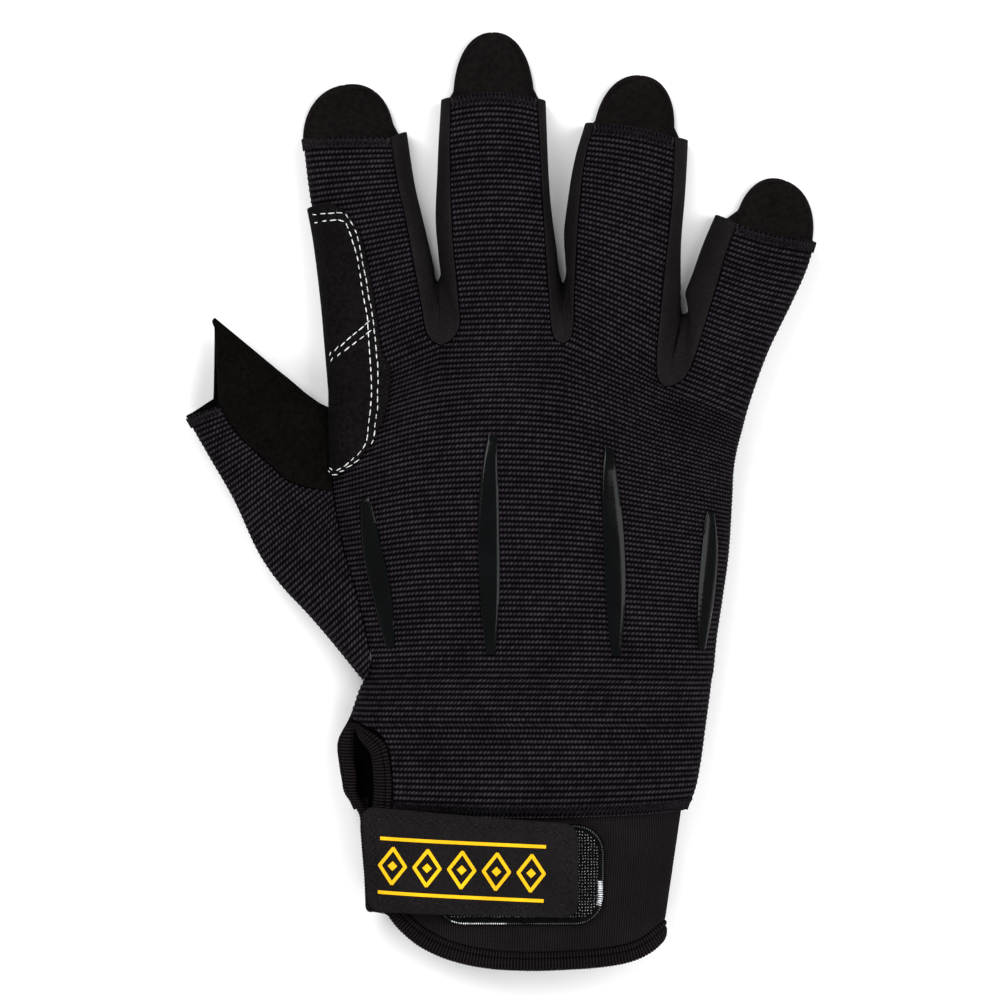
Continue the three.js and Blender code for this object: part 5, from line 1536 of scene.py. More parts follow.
@dataclass
class SideWalls:
    """The strips between the fingers, from one hem down round the crotch and up to the next."""

    hand: HandForm
    belly: float = 0.5
    crease: float = 0.5
    crease_rows: float = 2.2
    around: int = 14
    finger_rows: int = 42
    finger_bunch: float = 1.35
    smoothings: int = 3
    names: tuple[str, ...] = ("sidewall_index_middle", "sidewall_middle_ring", "sidewall_ring_little")

    def strip(self, wall: int) -> tuple[Cloth, Array]:
        """Returns one strip's outside and its inner points."""
        hand = self.hand
        up = np.linspace(0, 1, self.finger_rows)[1:] ** self.finger_bunch
        upper, ahead = [], []
        for finger, across, places in ((wall, 1.0, up[::-1]), (wall, 1.0, np.zeros(1)), (wall + 1, 0.0, up)):
            across = np.full(len(places), across)
            plan = hand.finger_plan(finger, across, places)
            upper.append(xyz(plan[:, 0], plan[:, 1], hand.finger_height(finger, across, places)))
            rise = hand.hem_rises[wall][finger - wall] * smooth(places, hand.rise_from, 1)
            ahead.append(np.append(hand.axis(finger)[0], 0) * rise[:, None])
        upper, ahead = np.concatenate(upper), np.concatenate(ahead)
        places = np.concatenate([up[::-1], [0], up])
        share = 0.5 + np.concatenate([-up[::-1], [0], up]) / 2
        run = np.gradient(upper, axis=0)
        run[:, 2] = 0
        run = unit(run)
        for _ in range(self.smoothings):
            run[1:-1] = unit(run[:-2] + 2 * run[1:-1] + run[2:])
        out = np.stack([-run[:, 1], run[:, 0], np.zeros(len(run))], axis=1)
        lean = np.append(hand.web_axis(wall), 0) * (hand.webs[wall] * hand.web_fade(places))[:, None]
        t = np.linspace(0, 1, self.around + 1)
        swell = hand.bulge_share * smooth(t, 0, 1) + self.belly * np.sin(np.pi * t)
        reach = hand.walls.gap + hand.bulge(wall, share)[:, None] * swell
        grid = upper[:, None, :] + out[:, None, :] * reach[..., None]
        grid = grid + lean[:, None, :] * smooth(t, 0, hand.web_end)[None, :, None]
        grid = grid + ahead[:, None, :] * np.sin(np.pi * t / 2)[None, :, None]
        grid[..., 2] = mix(upper[:, 2][:, None], hand.edge_lift, ((1 - np.cos(np.pi * t)) / 2)[None, :])
        slide = np.minimum(t / hand.web_end, 1)
        fall = np.pi / 2 * (upper[:, 2] - hand.edge_lift) * hand.web_end
        slope = 6 * (slide * (1 - slide))[None, :] * (np.sum(lean * out, axis=1) / fall)[:, None]
        facing = out[:, None, :] * np.sin(np.pi * t)[None, :, None]
        facing = facing + np.array([0, 0, 1]) * (np.cos(np.pi * t)[None, :] + slope)[..., None]
        inner = grid - unit(facing) * hand.walls.side
        return Cloth.from_grid(grid, flipped=True), inner.reshape(-1, 3)

    def build(self, shop: Workshop, material: Material) -> None:
        """Makes the three strips, each creased where it turns round the crotch."""
        across = np.sin(np.pi * np.linspace(0, 1, self.around + 1)) ** 0.5
        for wall, name in enumerate(self.names):
            cloth, inner = self.strip(wall)
            rows = len(cloth.points) // len(across)
            fold = -self.crease * np.exp(-(((np.arange(rows) - rows // 2) / self.crease_rows) ** 2))
            relief = (fold[:, None] * across).ravel()
            outside = cloth.wall(self.hand.walls.side, relief=relief, inner=inner)
            shop.cloth("cloth_" + name, outside, "sidewall", material, name)


@dataclass
class GlossBars:
    """The gel print on the back of the hand: one tapered bar above each finger."""

    hand: HandForm
    width: float = 5.2
    taper: float = 0.85
    spans: tuple[tuple[float, float], ...] = ((0.36, 0.7), (0.34, 0.8), (0.34, 0.8), (0.36, 0.7))
    grid: tuple[int, int] = (90, 11)
    round_off: float = 0.22
    round_end: float = 0.12
    ripple: float = 0.012
    ripple_pitch: float = 1.4

    def bar(self, i: int) -> Cloth:
        """Returns one bar, laid on the knit."""
        rows, columns = self.grid
        t, share = np.linspace(0, 1, rows)[:, None], np.linspace(0, 1, columns)[None, :]
        along = mix(*self.spans[i], t)
        half = self.width / 2 * np.sqrt(mix(1, np.sin(np.pi * t), self.taper))
        middle = (sum(COLUMNS[:i]) + COLUMNS[i] / 2) / sum(COLUMNS)
        step = 0.01
        before, after = self.hand.back(middle - step, along), self.hand.back(middle + step, along)
        per_column = np.linalg.norm(after - before, axis=-1) / (2 * step)
        grid = self.hand.back(middle + (2 * share - 1) * half / per_column, along * np.ones_like(share))
        return Cloth.from_grid(self.hand.eased(grid))

    def build(self, shop: Workshop, material: Material) -> None:
        """Makes the four bars, each rounded down at its edges and waved by the ribs under it."""
        walls, (rows, columns) = self.hand.walls, self.grid
        flat = 1 - np.abs(np.linspace(-1, 1, columns)[None, :]) ** 6
        ends = smooth(np.sin(np.pi * np.linspace(0, 1, rows))[:, None], 0, self.round_end)
        rounded = self.round_off * (np.minimum(flat, ends) - 1).ravel()
        for i, finger in enumerate(FINGERS):
            cloth = self.bar(i)
            relief = rounded + self.ripple * np.cos(2 * np.pi * cloth.uv[:, 1] / self.ripple_pitch)
            wall = cloth.wall(walls.film, lift=walls.gap + walls.film, relief=relief, rim=0.05)
            name = "gloss_bar_" + finger.name
            shop.cloth("gel_" + name, wall, "gloss_print", material, name)


@dataclass
class CuffPieces:
    """The jersey cuff, the strap that closes it and the hook pad under the strap."""

    wrist: WristForm
    strap_length: float = 53.8
    strap_width: float = 24.6
    strap_flare: float = 1.2
    strap_over_seam: float = 1.6
    strap_slope: float = 4.5
    strap_corner: float = 3.5
    pad_length: float = 42.0
    pad_width: float = 24.7
    pad_drop: float = 3.0
    pad_past_strap: float = 6.5
    binding_width: float = 4.6
    stitch_inset: float = 2.4
    groove: float = 0.22
    groove_width: float = 0.7
    edge_drop: float = 0.45
    edge_round: float = 0.9
    cuff_grid: tuple[int, int] = (40, 193)
    strap_grid: tuple[int, int] = (60, 110)
    pad_grid: tuple[int, int] = (50, 90)

    @cached_property
    def strap_outline(self) -> Cover:
        """The strap's outline, which starts just above the binding beside the slit."""
        walls, wrist = self.wrist.hand.walls, self.wrist
        inset = -walls.strap_clear - walls.strap
        foot = self.binding_width + 2 * walls.gap + walls.strap_clear + walls.strap
        rise = foot / (wrist.middle[2] - inset - wrist.hand.side_seam)
        start = -((1 - rise ** (1 / SHOULDER_POWER)) ** (1 / SHOULDER_BEND))

        def start_x(drop: Array) -> Array:
            """Returns where the strap starts in X at a drop below the cuff seam."""
            return wrist.centre_x(drop) + start * wrist.half_width(drop, inset)

        slope = math.tan(math.radians(self.strap_slope))
        return Cover(
            start_x=start_x, end_x=float(start_x(np.array(0.0))) + self.strap_length,
            top=lambda along: along * slope - self.strap_over_seam,
            bottom=lambda along: self.strap_width + self.strap_flare * along / self.strap_length,
            corner=self.strap_corner, inset=inset,
        )

    @cached_property
    def pad_outline(self) -> Cover:
        """The hook pad's outline, which shows past the strap's free end and below it."""
        walls = self.wrist.hand.walls
        end = self.strap_outline.end_x + self.pad_past_strap
        return Cover(
            start_x=lambda drop: np.full_like(drop, end - self.pad_length), end_x=end,
            top=lambda along: np.full_like(along, self.pad_drop),
            bottom=lambda along: np.full_like(along, self.pad_drop + self.pad_width),
            corner=2 * self.strap_corner, inset=self.wrist.inset - walls.gap - walls.pad,
        )

    def strap_surface(self, edge: Array) -> Array:
        """Returns the strap's extra height: rounded down at its edge, with a groove at its stitching."""
        groove = np.exp(-(((edge - self.stitch_inset) / self.groove_width) ** 2))
        return -self.edge_drop * (1 - smooth(edge, 0, self.edge_round)) - self.groove * groove

    def build(self, shop: Workshop, palette: Mapping[str, Material]) -> tuple[Piece, Ground, Ground]:
        """Makes the cuff, the strap and the pad.

        Args:
            shop: Takes the pieces.
            palette: The finishes.

        Returns:
            The strap, its surface and the pad's surface.
        """
        walls, wrist = self.wrist.hand.walls, self.wrist
        rows, columns = self.cuff_grid
        turn = np.linspace(wrist.open_turn, -np.pi, columns)
        grid = wrist.cuff(turn[None, :], np.linspace(0, 1, rows)[:, None])
        cuff = Cloth.from_grid(grid, flipped=True, level=(-1,))
        shop.cloth("jersey_cuff", cuff.wall(walls.cuff), "cuff_jersey", palette["jersey"], "cuff")
        strap = Cloth.from_grid(wrist.cover(self.strap_outline, *self.strap_grid, self.strap_surface), flipped=True)
        strap_wall = strap.wall(walls.strap, rim=0.25)
        strap_piece = shop.cloth("cloth_strap", strap_wall, "strap_cloth", palette["strap"], "strap")
        pad = Cloth.from_grid(wrist.cover(self.pad_outline, *self.pad_grid), flipped=True)
        pad_wall = pad.wall(walls.pad, rim=0.2)
        shop.cloth("film_closure_pad", pad_wall, "hook_film", palette["hooks"], "closure_pad")
        return strap_piece, Ground(strap_wall[0], strap_wall[1]), Ground(pad_wall[0], pad_wall[1])


@dataclass
class Binding:
    """The bound edge: one ribbed tape round the hem, up the slit, over the vent and back down."""

    wrist: WristForm
    width: float = 4.6
    thickness: float = 2.6
    rib_pitch: float = 0.78
    rib_height: float = 0.1
    steps_per_rib: int = 4
    cuff_steps: int = 32
    slit_steps: int = 5
    vent_steps: int = 5
    vent_lean: float = 0.6
    vent_narrowing: float = 0.58
    vent_arch: float = 0.45
    section: tuple[tuple[float, float], ...] = (
        (0, 0.2), (0.04, 0.38), (0.14, 0.5), (0.27, 0.47), (0.33, 0.24), (0.39, 0.45), (0.5, 0.5), (0.68, 0.5),
        (0.84, 0.44), (0.95, 0.3), (1, 0.1), (1, -0.12), (0.95, -0.32), (0.84, -0.46), (0.62, -0.5), (0.36, -0.5),
        (0.14, -0.47), (0.03, -0.32), (0, -0.1),
    )

    def stations(self) -> list[tuple[Array, Array, Array, float, float]]:
        """Returns the ring's stations: place, width direction, face direction, clearance and size."""
        wrist, hand = self.wrist, self.wrist.hand
        walls = hand.walls
        found: list[tuple[Array, Array, Array, float, float]] = []

        def add(
            place: Array, out: Array, face: Array, wall: float, clear: float = walls.gap, size: float = 1
        ) -> None:
            """Adds a station, centred in a wall of the given thickness."""
            out = unit(np.asarray(out, float))
            up = square_to(np.asarray(face, float), out)
            found.append((place - up * wall / 2, out, up, clear, size))

        step = 0.02

        def around(turn: float, down: float) -> Array:
            """Returns the direction round the cuff."""
            ahead = wrist.cuff(min(turn + step, wrist.open_turn), down)
            return unit(ahead - wrist.cuff(max(turn - step, -np.pi), down))

        def face_at(turn: float, down: float) -> Array:
            """Returns the cuff's outward direction."""
            run = around(turn, down) * np.array([1, 0, 1])
            return unit(np.cross(run, [0, -1, 0]))

        for k in range(self.cuff_steps + 1):
            turn = mix(wrist.open_turn, -np.pi, k / self.cuff_steps)
            run = around(turn, 1)
            wall = mix(walls.cuff, self.thickness, float(smooth(-math.sin(turn), 0, 0.3)))
            add(wrist.cuff(turn, 1), np.array([0, -1, 0]) + run * run[1], face_at(turn, 1), wall)
        thumb_side = np.array([-1.0, 0, 0])
        add(wrist.cuff(-np.pi, 1), np.array([0, -0.7, 0.7]), thumb_side, walls.cuff)
        for k in range(self.slit_steps, 0, -1):
            add(wrist.cuff(-np.pi, k / (self.slit_steps + 1)), np.array([0, 0, 1]), thumb_side, walls.cuff)
        for k in range(1, self.vent_steps + 1):
            lean = self.vent_lean * float(smooth(k, 0, 2))
            size = self.vent_narrowing if k == self.vent_steps else 1
            clear = walls.gap + lean * self.thickness * size / 2
            place = hand.palm(0, hand.vent_top * k / self.vent_steps)
            add(place, np.array([lean, 0, 1]), np.array([-1, 0, lean]), walls.suede, clear, size)
        top = mix(hand.palm(0, hand.vent_top), hand.back(0, hand.vent_top), 0.5)
        add(top, np.array([0, -1, 0]), np.array([-self.vent_lean, 0, 0.8]), walls.knit, 0, self.vent_arch)
        for k in range(self.vent_steps, -1, -1):
            along = hand.vent_top * k / self.vent_steps
            place = hand.back(0, along)
            ahead = unit(hand.back(0, along + step) - hand.back(0, max(0, along - step)))
            outwards = unit(place - hand.back(step, along))
            out = outwards - ahead * float(outwards @ ahead)
            size = self.vent_narrowing if k == self.vent_steps else 1
            add(place, out, np.cross(ahead, out), self.thickness, 2 * walls.gap, size)
        for k in range(1, self.slit_steps + 1):
            out = around(wrist.open_turn, 0.5) * np.array([1, 0, 1])
            place = wrist.cuff(wrist.open_turn, k / (self.slit_steps + 1))
            add(place, out, face_at(wrist.open_turn, 0.5), walls.cuff)
        return found

    def ring(self) -> tuple[Array, float]:
        """Returns the ring's stations interpolated finely and evenly, and its length."""
        rows = np.array([np.concatenate([p, o, u, [c, s]]) for p, o, u, c, s in self.stations()])
        middles = rows[:, :3] + rows[:, 3:6] * (rows[:, 9:10] + self.width * rows[:, 10:11] / 2)
        closed = np.concatenate([middles, middles[:1]])
        run = run_along(closed)
        length = float(run[-1])
        keys = np.concatenate([run[-4:-1] - length, run, run[1:4] + length])
        padded = np.concatenate([rows[-3:], rows, rows[:4]])
        count = int(round(length / self.rib_pitch)) * self.steps_per_rib
        where = np.arange(count) / count * length
        fine = np.stack([Line(tuple(keys), tuple(padded[:, k]))(where) for k in range(11)], axis=1)
        return fine, length

    def build(self, shop: Workshop, material: Material) -> None:
        """Makes the tape as one closed ring with its ribs as real relief."""
        fine, length = self.ring()
        out, up = unit(fine[:, 3:6]), fine[:, 6:9]
        up = square_to(up, out)
        size, clear = fine[:, 10:11], fine[:, 9:10]
        section = np.array(self.section)
        run = np.arange(len(fine)) / len(fine) * length
        ribs = self.rib_height * np.cos(2 * np.pi * np.arange(len(fine)) / self.steps_per_rib)[:, None]
        away = unit(section * np.array([self.width, self.thickness]) - np.array([self.width / 2, 0]))
        w = section[None, :, 0] * self.width * size + clear + ribs * away[None, :, 0] * size
        h = section[None, :, 1] * self.thickness * size + ribs * away[None, :, 1] * size
        points = fine[:, None, :3] + out[:, None, :] * w[..., None] + up[:, None, :] * h[..., None]
        rows, n = len(fine), len(section)
        r, c = np.meshgrid(np.arange(rows), np.arange(n), indexing="ij")
        after, d = (r + 1) % rows, (c + 1) % n
        faces = np.stack([r * n + c, r * n + d, after * n + d, after * n + c], axis=2).reshape(-1, 4)
        girth = run_along(section * [self.width, self.thickness])
        uv = pattern_uv(np.broadcast_to(girth, (rows, n)), run)
        mesh = shop.mesh("tape_edge_binding", points.reshape(-1, 3), faces, uv, sharp=70)
        shop.add("tape_edge_binding", mesh, "binding_tape", material, "edge_binding")


@dataclass
class Stitching:
    """All the sewing: white rows on the patch, overlocked hems, the cuff seam and the strap's zigzag."""

    hand: HandForm
    thumb: ThumbForm
    cuff: CuffPieces
    grower: Grower
    dash: float = 1.65
    dash_pitch: float = 2.15
    dash_width: float = 0.31
    hem_depth: float = 2.7
    hem_pitch: float = 1.15
    finger_hem: float = 25
    thumb_hem: float = 13
    seam_stitches: int = 190
    edge_pitch: float = 0.62
    edge_trim: int = 9
    edge_depths: tuple[float, float] = (0.35, 2.1)
    zigzag_pitch: float = 1.1
    zigzag_half: float = 0.6
    zigzag_corner: float = 2.2
    thread: float = 0.17
    patch_rows: tuple[tuple[tuple[float, float], ...], ...] = (
        ((-47.1, 69.2), (-39.8, 69.8), (-37.6, 66.8), (-35.8, 61), (-34.3, 52), (-33.1, 45.3), (-32.7, 39.3),
         (-32.3, 33.5), (-32, 26.3), (-32.8, 19.1), (-33.6, 13.9), (-37, 10), (-40.3, 7.8), (-43.3, 8.1)),
        ((-47.5, 71.3), (-39.8, 71.6), (-38, 70.3), (-35.8, 66.3), (-34.5, 60), (-32.9, 52), (-31.8, 45.8),
         (-31.3, 41.5), (-30.5, 33.5), (-30.5, 26.3), (-31, 19.1), (-32.3, 13.4), (-35.5, 10), (-38.9, 7.7),
         (-41.8, 6.3), (-44.4, 6.3)),
        ((-43.3, 35.9), (-38.5, 39.5), (-32.3, 44.8)),
        ((-43, 34.5), (-38.2, 37.6), (-31.8, 42.5)),
    )

    def sew(self, shop: Workshop, name: str, lines: Sequence[Array], slot: str, material: Material) -> None:
        """Lays threads along lines and adds them as one piece."""
        inputs = {"Radius": self.thread * MM, "Finish": material}
        mesh = self.grower.grow(name, seed_lines(lines), self.grower.thread_tree(), inputs)
        shop.add(name, mesh, slot, None)

    def patch_edge(self, shop: Workshop, ground: Ground, edge: Array, material: Material) -> None:
        """Overlocks the patch's inner edge with a close zigzag."""
        rng = np.random.default_rng(SEED + 3)
        plan, ahead = even_places(edge[self.edge_trim:-self.edge_trim], self.edge_pitch)
        depth = np.where(np.arange(len(plan)) % 2, *self.edge_depths) + rng.normal(0, 0.14, len(plan))
        places, _ = ground.drop(plan + left_of(ahead) * depth[:, None], self.thread * 0.4)
        self.sew(shop, "threads_patch_edge", [places], "suede", material)

    def patch(self, shop: Workshop, ground: Ground, material: Material) -> None:
        """Sews the patch's two rows and its cross rows in white."""
        rng = np.random.default_rng(SEED + 5)
        places, turns = [], []
        for row in self.patch_rows:
            plan, ahead = even_places(rounded_path(row), self.dash_pitch)
            on_patch, normals = ground.drop(plan + rng.normal(0, 0.06, plan.shape), self.dash_width * 0.2)
            places.append(on_patch)
            turns.append(turns_of(square_to(xyz(ahead[:, 0], ahead[:, 1], 0), normals), normals))
        sewn = np.concatenate(places)
        grows = xyz(rng.uniform(0.78, 1.18, len(sewn)), rng.uniform(0.8, 1.15, len(sewn)), 1)
        seed = seed_points(sewn, np.concatenate(turns), grows)
        width = self.dash_width * MM
        sizes = {"Length": self.dash * MM, "Width": width, "Height": width * 0.8, "Finish": material}
        tree = self.grower.scatter_tree(Motif.STITCH)
        shop.add("stitches_patch", self.grower.grow("stitches_patch", seed, tree, sizes), "suede", None)

    def overlock(
        self, surface: Surface, width: float, depth: float, phase: float, rng: np.random.Generator
    ) -> Array:
        """Returns one overlocking thread that runs to and fro over a hem.

        Args:
            surface: The cloth, as a function of its shares across and along, with its hem at 1.
            width: The hem's length.
            depth: How deep the stitches reach, as a share along the cloth.
            phase: Where the thread starts, as a share of its pitch.
            rng: The source of its small irregularities.

        Returns:
            The thread's points.
        """
        count = int(width / self.hem_pitch * 2)
        across = (np.arange(count) + phase) / count
        across = np.clip(across + rng.normal(0, 0.12 / count, count), 0.004, 0.996)
        deep, shallow = rng.uniform(0.82, 1.05, count), rng.uniform(0.0, 0.12, count)
        along = 1 - depth * np.where(np.arange(count) % 2, deep, shallow)
        return lifted(surface, across, np.clip(along, 0, 1), self.thread + 0.12)

    def hems(self, shop: Workshop, material: Material) -> None:
        """Overlocks the four finger hems and the thumb's hem."""
        rng = np.random.default_rng(SEED)
        lines = []
        for i, finger in enumerate(FINGERS):
            def surface(share: Array, along: Array, i: int = i) -> Array:
                """Returns the finger's back with its waves."""
                return self.hand.eased(self.hand.finger_back(i, share, along))

            depth = self.hem_depth / finger.length
            for phase in (0.0, 0.35, 0.7):
                lines.append(self.overlock(surface, self.finger_hem, depth, phase, rng))
        depth = self.hem_depth / self.thumb.length
        for phase in (0.0, 0.5):
            lines.append(self.overlock(self.thumb.back, self.thumb_hem, depth, phase, rng))
        self.sew(shop, "threads_hems", lines, "knit", material)

    def seam(self, shop: Workshop, material: Material) -> None:
        """Sews the knit's lower edge to the cuff with a close zigzag."""
        rng = np.random.default_rng(SEED + 1)
        count, lines = self.seam_stitches, []
        for phase, low, high in ((0.0, 0.004, 0.026), (0.5, 0.005, 0.024)):
            across = np.clip((np.arange(count) + phase) / count, 0.01, 0.985)
            along = np.where(np.arange(count) % 2, high, low) + rng.normal(0, 0.0008, count)
            lift = (self.thread + 0.12 - hem_press(along * self.hand.palm_length))[:, None]
            lines.append(lifted(lambda c, a: self.hand.eased(self.hand.back(c, a)), across, along, lift))
        self.sew(shop, "threads_cuff_seam", lines, "knit", material)

    def strap(self, shop: Workshop, ground: Ground, material: Material) -> None:
        """Sews a zigzag round the strap, inside its edge."""
        outline, inset = self.cuff.strap_outline, self.cuff.stitch_inset
        seam_y = self.hand.cuff_seam
        left, right = float(outline.start_x(np.array(6.0))) + inset, outline.end_x - inset
        ends = np.array([inset, right - left])
        top_left, top_right = seam_y - outline.top(ends) - inset
        low_left, low_right = seam_y - outline.bottom(ends) + inset
        corner = self.zigzag_corner
        path = [
            (left + corner, top_left), (right - corner, top_right), (right, top_right - corner),
            (right, low_right + corner), (right - corner, low_right), (left + corner, low_left),
            (left + 0.6, low_left + corner), (left, top_left - corner), (left + corner, top_left),
        ]
        rng = np.random.default_rng(SEED + 4)
        plan, ahead = even_places(np.array(path), self.zigzag_pitch)
        side = self.zigzag_half * np.where(np.arange(len(plan)) % 2, 1, -1) + rng.normal(0, 0.14, len(plan))
        plan = plan + left_of(ahead) * side[:, None] + rng.normal(0, 0.1, plan.shape)
        places, _ = ground.drop(plan, self.thread * 0.5)
        self.sew(shop, "threads_strap", [places], "strap_cloth", material)


@dataclass
class Ornament:
    """The strap's plain printed ornament: outlined lozenges and small squares between two lines."""

    grower: Grower
    middle: tuple[float, float] = (-9.6, -91.4)
    tilt: float = -2.6
    count: int = 5
    pitch: float = 8.6
    lozenge: tuple[float, float] = (3.2, 4.4)
    square: float = 1.7
    line_gap: float = 6.7
    line_steps: int = 9
    stroke: float = 0.85
    height: float = 0.16

    def strokes(self) -> tuple[Array, Array, Array]:
        """Returns the strokes' two ends about the ornament's middle, and their widths."""
        half, (wide, high) = (self.count - 1) / 2 * self.pitch, self.lozenge
        diagonal = self.square / math.sqrt(8)
        starts, ends, widths = [], [], []
        for x in np.linspace(-half, half, self.count):
            corners = np.array([(x - wide, 0), (x, high), (x + wide, 0), (x, -high)])
            starts += list(corners)
            ends += list(np.roll(corners, -1, axis=0))
            widths += [self.stroke] * 4
            starts.append((x - diagonal, -diagonal))
            ends.append((x + diagonal, diagonal))
            widths.append(self.square)
        places = np.linspace(-half - wide, half + wide, self.line_steps + 1)
        for y in (-self.line_gap, self.line_gap):
            starts += [(x, y) for x in places[:-1]]
            ends += [(x, y) for x in places[1:]]
            widths += [self.stroke] * self.line_steps
        return np.array(starts), np.array(ends), np.array(widths)

    def build(self, shop: Workshop, strap: Piece, material: Material) -> None:
        """Prints the ornament on the strap."""
        starts, ends, widths = self.strokes()
        angle = math.radians(self.tilt)
        turned = np.array([(math.cos(angle), math.sin(angle)), (-math.sin(angle), math.cos(angle))])
        middles, runs = (starts + ends) / 2 @ turned + self.middle, (ends - starts) @ turned
        lengths = np.linalg.norm(runs, axis=1) + np.where(widths > self.stroke, 0, self.stroke * 0.4)
        none = np.zeros(len(runs))
        seed = seed_points(
            xyz(middles[:, 0], middles[:, 1], 0), xyz(none, none, np.arctan2(runs[:, 1], runs[:, 0])),
            xyz(lengths, widths, 1 + 0.04 * (np.arange(len(runs)) % 5)),
        )
        sizes = {"Length": MM, "Width": MM, "Height": self.height * MM, "Ground": strap, "Finish": material}
        mesh = self.grower.grow("print_ornament", seed, self.grower.print_tree(), sizes)
        shop.add("print_ornament", mesh, "strap_cloth", None)


@dataclass
class HookField:
    """The hook pad's small hooks and the beaded edge of its film."""

    cuff: CuffPieces
    grower: Grower
    pitch: float = 0.75
    size: float = 0.3
    border: float = 1.3
    bead_inset: float = 0.9
    bead: float = 0.42
    bead_reach: float = 1.5
    short_reach: float = 0.3
    # Bands about the pad's middle where the beads are painted near white as painted highlights.
    painted_highlight_side: tuple[float, float] = (-10.0, -1.5)
    painted_highlight_bottom: tuple[float, float] = (-17.0, -3.0)

    def scatter(
        self, shop: Workshop, name: str, seed: Mesh, motif: Motif, size: Sequence[float],
        material: Material,
    ) -> None:
        """Sets a motif of one size on each seed point and adds them as one piece."""
        sizes = {"Length": size[0] * MM, "Width": size[1] * MM, "Height": size[2] * MM, "Finish": material}
        mesh = self.grower.grow(name, seed, self.grower.scatter_tree(motif), sizes)
        shop.add(name, mesh, "hook_film", None)

    def build(self, shop: Workshop, ground: Ground, palette: Mapping[str, Material]) -> None:
        """Sets the hooks over the pad and the beads round its edge, with painted highlights on the hooks and on the
        beads in two bands.
        """
        rng = np.random.default_rng(SEED + 2)
        outline, seam, cuff = self.cuff.pad_outline, self.cuff.wrist.hand.cuff_seam, self.cuff
        middle = np.array([outline.end_x - cuff.pad_length / 2, seam - cuff.pad_drop - cuff.pad_width / 2])
        half = np.array([cuff.pad_length, cuff.pad_width]) / 2
        reach = half - self.border
        x, y = (a.ravel() for a in np.meshgrid(*(np.arange(-r, r, self.pitch) for r in reach)))
        corner = outline.corner - self.border
        past = np.hypot(*(np.maximum(np.abs(a) - r + corner, 0) for a, r in zip((x, y), reach)))
        plan = np.stack([x, y], axis=1)[past < corner] + middle
        places, _ = ground.drop(plan + rng.normal(0, 0.05, plan.shape), 0.1)
        turns = rng.normal(0, 0.2, places.shape)
        seed, size = seed_points(places, turns), [self.size] * 3
        # The hooks take a finish mottled up to near white: painted highlights of their glossy heads.
        self.scatter(shop, "hooks_pad", seed, Motif.HOOK, size, palette["hook_tips"])
        radius, loop = outline.corner - self.bead_inset, []
        for turn, side in enumerate(((1, 1), (-1, 1), (-1, -1), (1, -1))):
            around = np.linspace(0, np.pi / 2, 9) + turn * np.pi / 2
            centre = middle + np.array(side) * (half - self.bead_inset - radius)
            loop.append(centre + radius * np.stack([np.cos(around), np.sin(around)], axis=1))
        plan, ahead = even_places(np.concatenate(loop + [loop[0][:1]]), self.bead * 1.25)
        x, y = (plan - middle).T
        teeth = (x > half[0] - self.bead_reach) & (y > self.painted_highlight_side[0]) & (y < self.painted_highlight_side[1])
        below = (y < self.bead_reach - half[1]) & (x > self.painted_highlight_bottom[0]) & (x < self.painted_highlight_bottom[1])
        inwards = left_of(ahead)
        shift = np.where(teeth, 0, self.bead_inset - self.short_reach)
        places, normals = ground.drop(plan - inwards * shift[:, None], 0.05)
        turns = turns_of(square_to(xyz(inwards[:, 0], inwards[:, 1], 0), normals), normals)
        grows = xyz(np.where(teeth, 1, self.short_reach), 1, 1)
        size = (self.bead_reach, self.bead, self.bead)
        # Beads in the band at the right side and along the bottom take the near-white finish: painted highlights of
        # the glossy edge.
        painted_highlight_mask = teeth | below
        for name, chosen, finish in (("beads_pad", ~painted_highlight_mask, "bead_film"), ("beads_lit", painted_highlight_mask, "bead_glint")):
            seed = seed_points(places[chosen], turns[chosen], grows[chosen])
            self.scatter(shop, name, seed, Motif.BEAD, size, palette[finish])


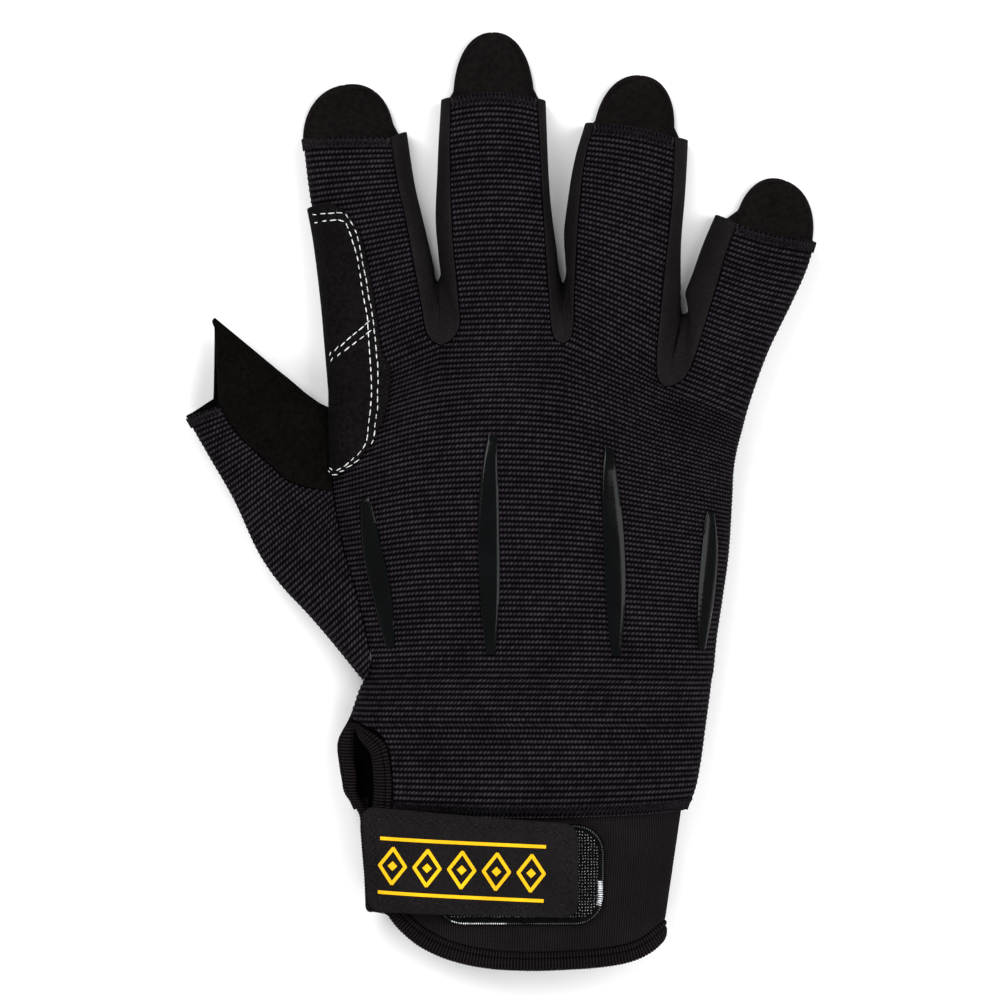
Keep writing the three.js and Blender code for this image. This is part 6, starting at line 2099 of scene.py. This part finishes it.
@dataclass
class Studio:
    """The pale floor, the soft lights and the camera above the glove."""

    frame_width: float = 0.25025
    camera_height: float = 1.1
    middle_height: float = 0.01
    sensor: float = 36.0
    floor_size: float = 4.0
    floor_drop: float = 0.0002
    floor_white: float = 0.92
    sky_strength: float = 0.42
    lamps: tuple[tuple[str, tuple[float, ...], tuple[float, float], float], ...] = (
        ("key", (-0.75, 0.85, 1.25), (1.0, 0.8), 21),
        ("fill", (0.95, 0.2, 1.15), (0.9, 1.1), 15),
        ("front", (0.1, -1.15, 0.95), (1.2, 0.6), 11),
    )

    def floor(self) -> None:
        """Lays the floor just under the glove."""
        half = self.floor_size / 2
        mesh = bpy.data.meshes.new("floor")
        corners = [(-half, -half), (half, -half), (half, half), (-half, half)]
        mesh.from_pydata([(x, y, -self.floor_drop) for x, y in corners], [], [(0, 1, 2, 3)])
        material = bpy.data.materials.new("pale_floor")
        material.use_nodes = True
        shader = material.node_tree.nodes["Principled BSDF"]
        shader.inputs["Base Color"].default_value = rgba([self.floor_white] * 3)
        shader.inputs["Roughness"].default_value = 0.9
        shader.inputs["Specular IOR Level"].default_value = 0.0
        mesh.materials.append(material)
        in_scene("floor", mesh)

    def lamp(self, name: str, place: Sequence[float], size: Sequence[float], power: float) -> None:
        """Adds an area light that looks at the glove."""
        light = bpy.data.lights.new(name, "AREA")
        light.shape = "RECTANGLE"
        light.size, light.size_y = size
        light.energy = power
        lamp = in_scene(name, light)
        lamp.location = place
        lamp.rotation_euler = (Vector((0, 0, 0)) - Vector(place)).to_track_quat("-Z", "Y").to_euler()

    def build(self) -> None:
        """Sets up the floor, lights, world and camera."""
        self.floor()
        for lamp in self.lamps:
            self.lamp(*lamp)
        world = bpy.data.worlds.new("studio")
        world.use_nodes = True
        sky = world.node_tree.nodes["Background"]
        sky.inputs["Color"].default_value = (1, 1, 1, 1)
        sky.inputs["Strength"].default_value = self.sky_strength
        bpy.context.scene.world = world
        bpy.context.scene.view_settings.view_transform = "Standard"
        camera = bpy.data.cameras.new("camera")
        camera.sensor_width = self.sensor
        camera.lens = self.sensor * self.camera_height / self.frame_width
        camera.clip_start, camera.clip_end = 0.05, 20
        eye = in_scene("camera", camera)
        eye.location = (0, 0, self.camera_height + self.middle_height)
        bpy.context.scene.camera = eye


def main() -> None:
    """Builds every sub-assembly in order and logs how many pieces and triangles it made."""
    logging.basicConfig(level=logging.INFO, format="%(name)s: %(message)s")
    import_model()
    effects, palette = Effects(), Palette()
    finishes = {name: getattr(palette, name).material(effects) for name in palette.__dataclass_fields__}
    hand = HandForm()
    thumb = ThumbForm(hand)
    wrist = WristForm(hand)
    shop, grower = Workshop(), Grower()
    KnitPieces(hand, thumb).build(shop, finishes["knit"])
    patch_ground, patch_edge = SuedePieces(hand, thumb).build(shop, finishes)
    SideWalls(hand).build(shop, finishes["wall"])
    GlossBars(hand).build(shop, finishes["film"])
    cuff = CuffPieces(wrist)
    strap, strap_ground, pad_ground = cuff.build(shop, finishes)
    Binding(wrist).build(shop, finishes["tape"])
    sewing = Stitching(hand, thumb, cuff, grower)
    sewing.patch(shop, patch_ground, finishes["white_thread"])
    sewing.hems(shop, finishes["dark_thread"])
    sewing.seam(shop, finishes["dark_thread"])
    sewing.patch_edge(shop, patch_ground, patch_edge, finishes["tone_thread"])
    sewing.strap(shop, strap_ground, finishes["tone_thread"])
    Ornament(grower).build(shop, strap, finishes["yellow"])
    HookField(cuff, grower).build(shop, pad_ground, finishes)
    Studio().build()
    triangles = sum(len(face.vertices) - 2 for piece in shop.pieces for face in piece.data.polygons)
    LOG.info("%d pieces, %d triangles", len(shop.pieces), triangles)


if __name__ == "__main__":
    main()
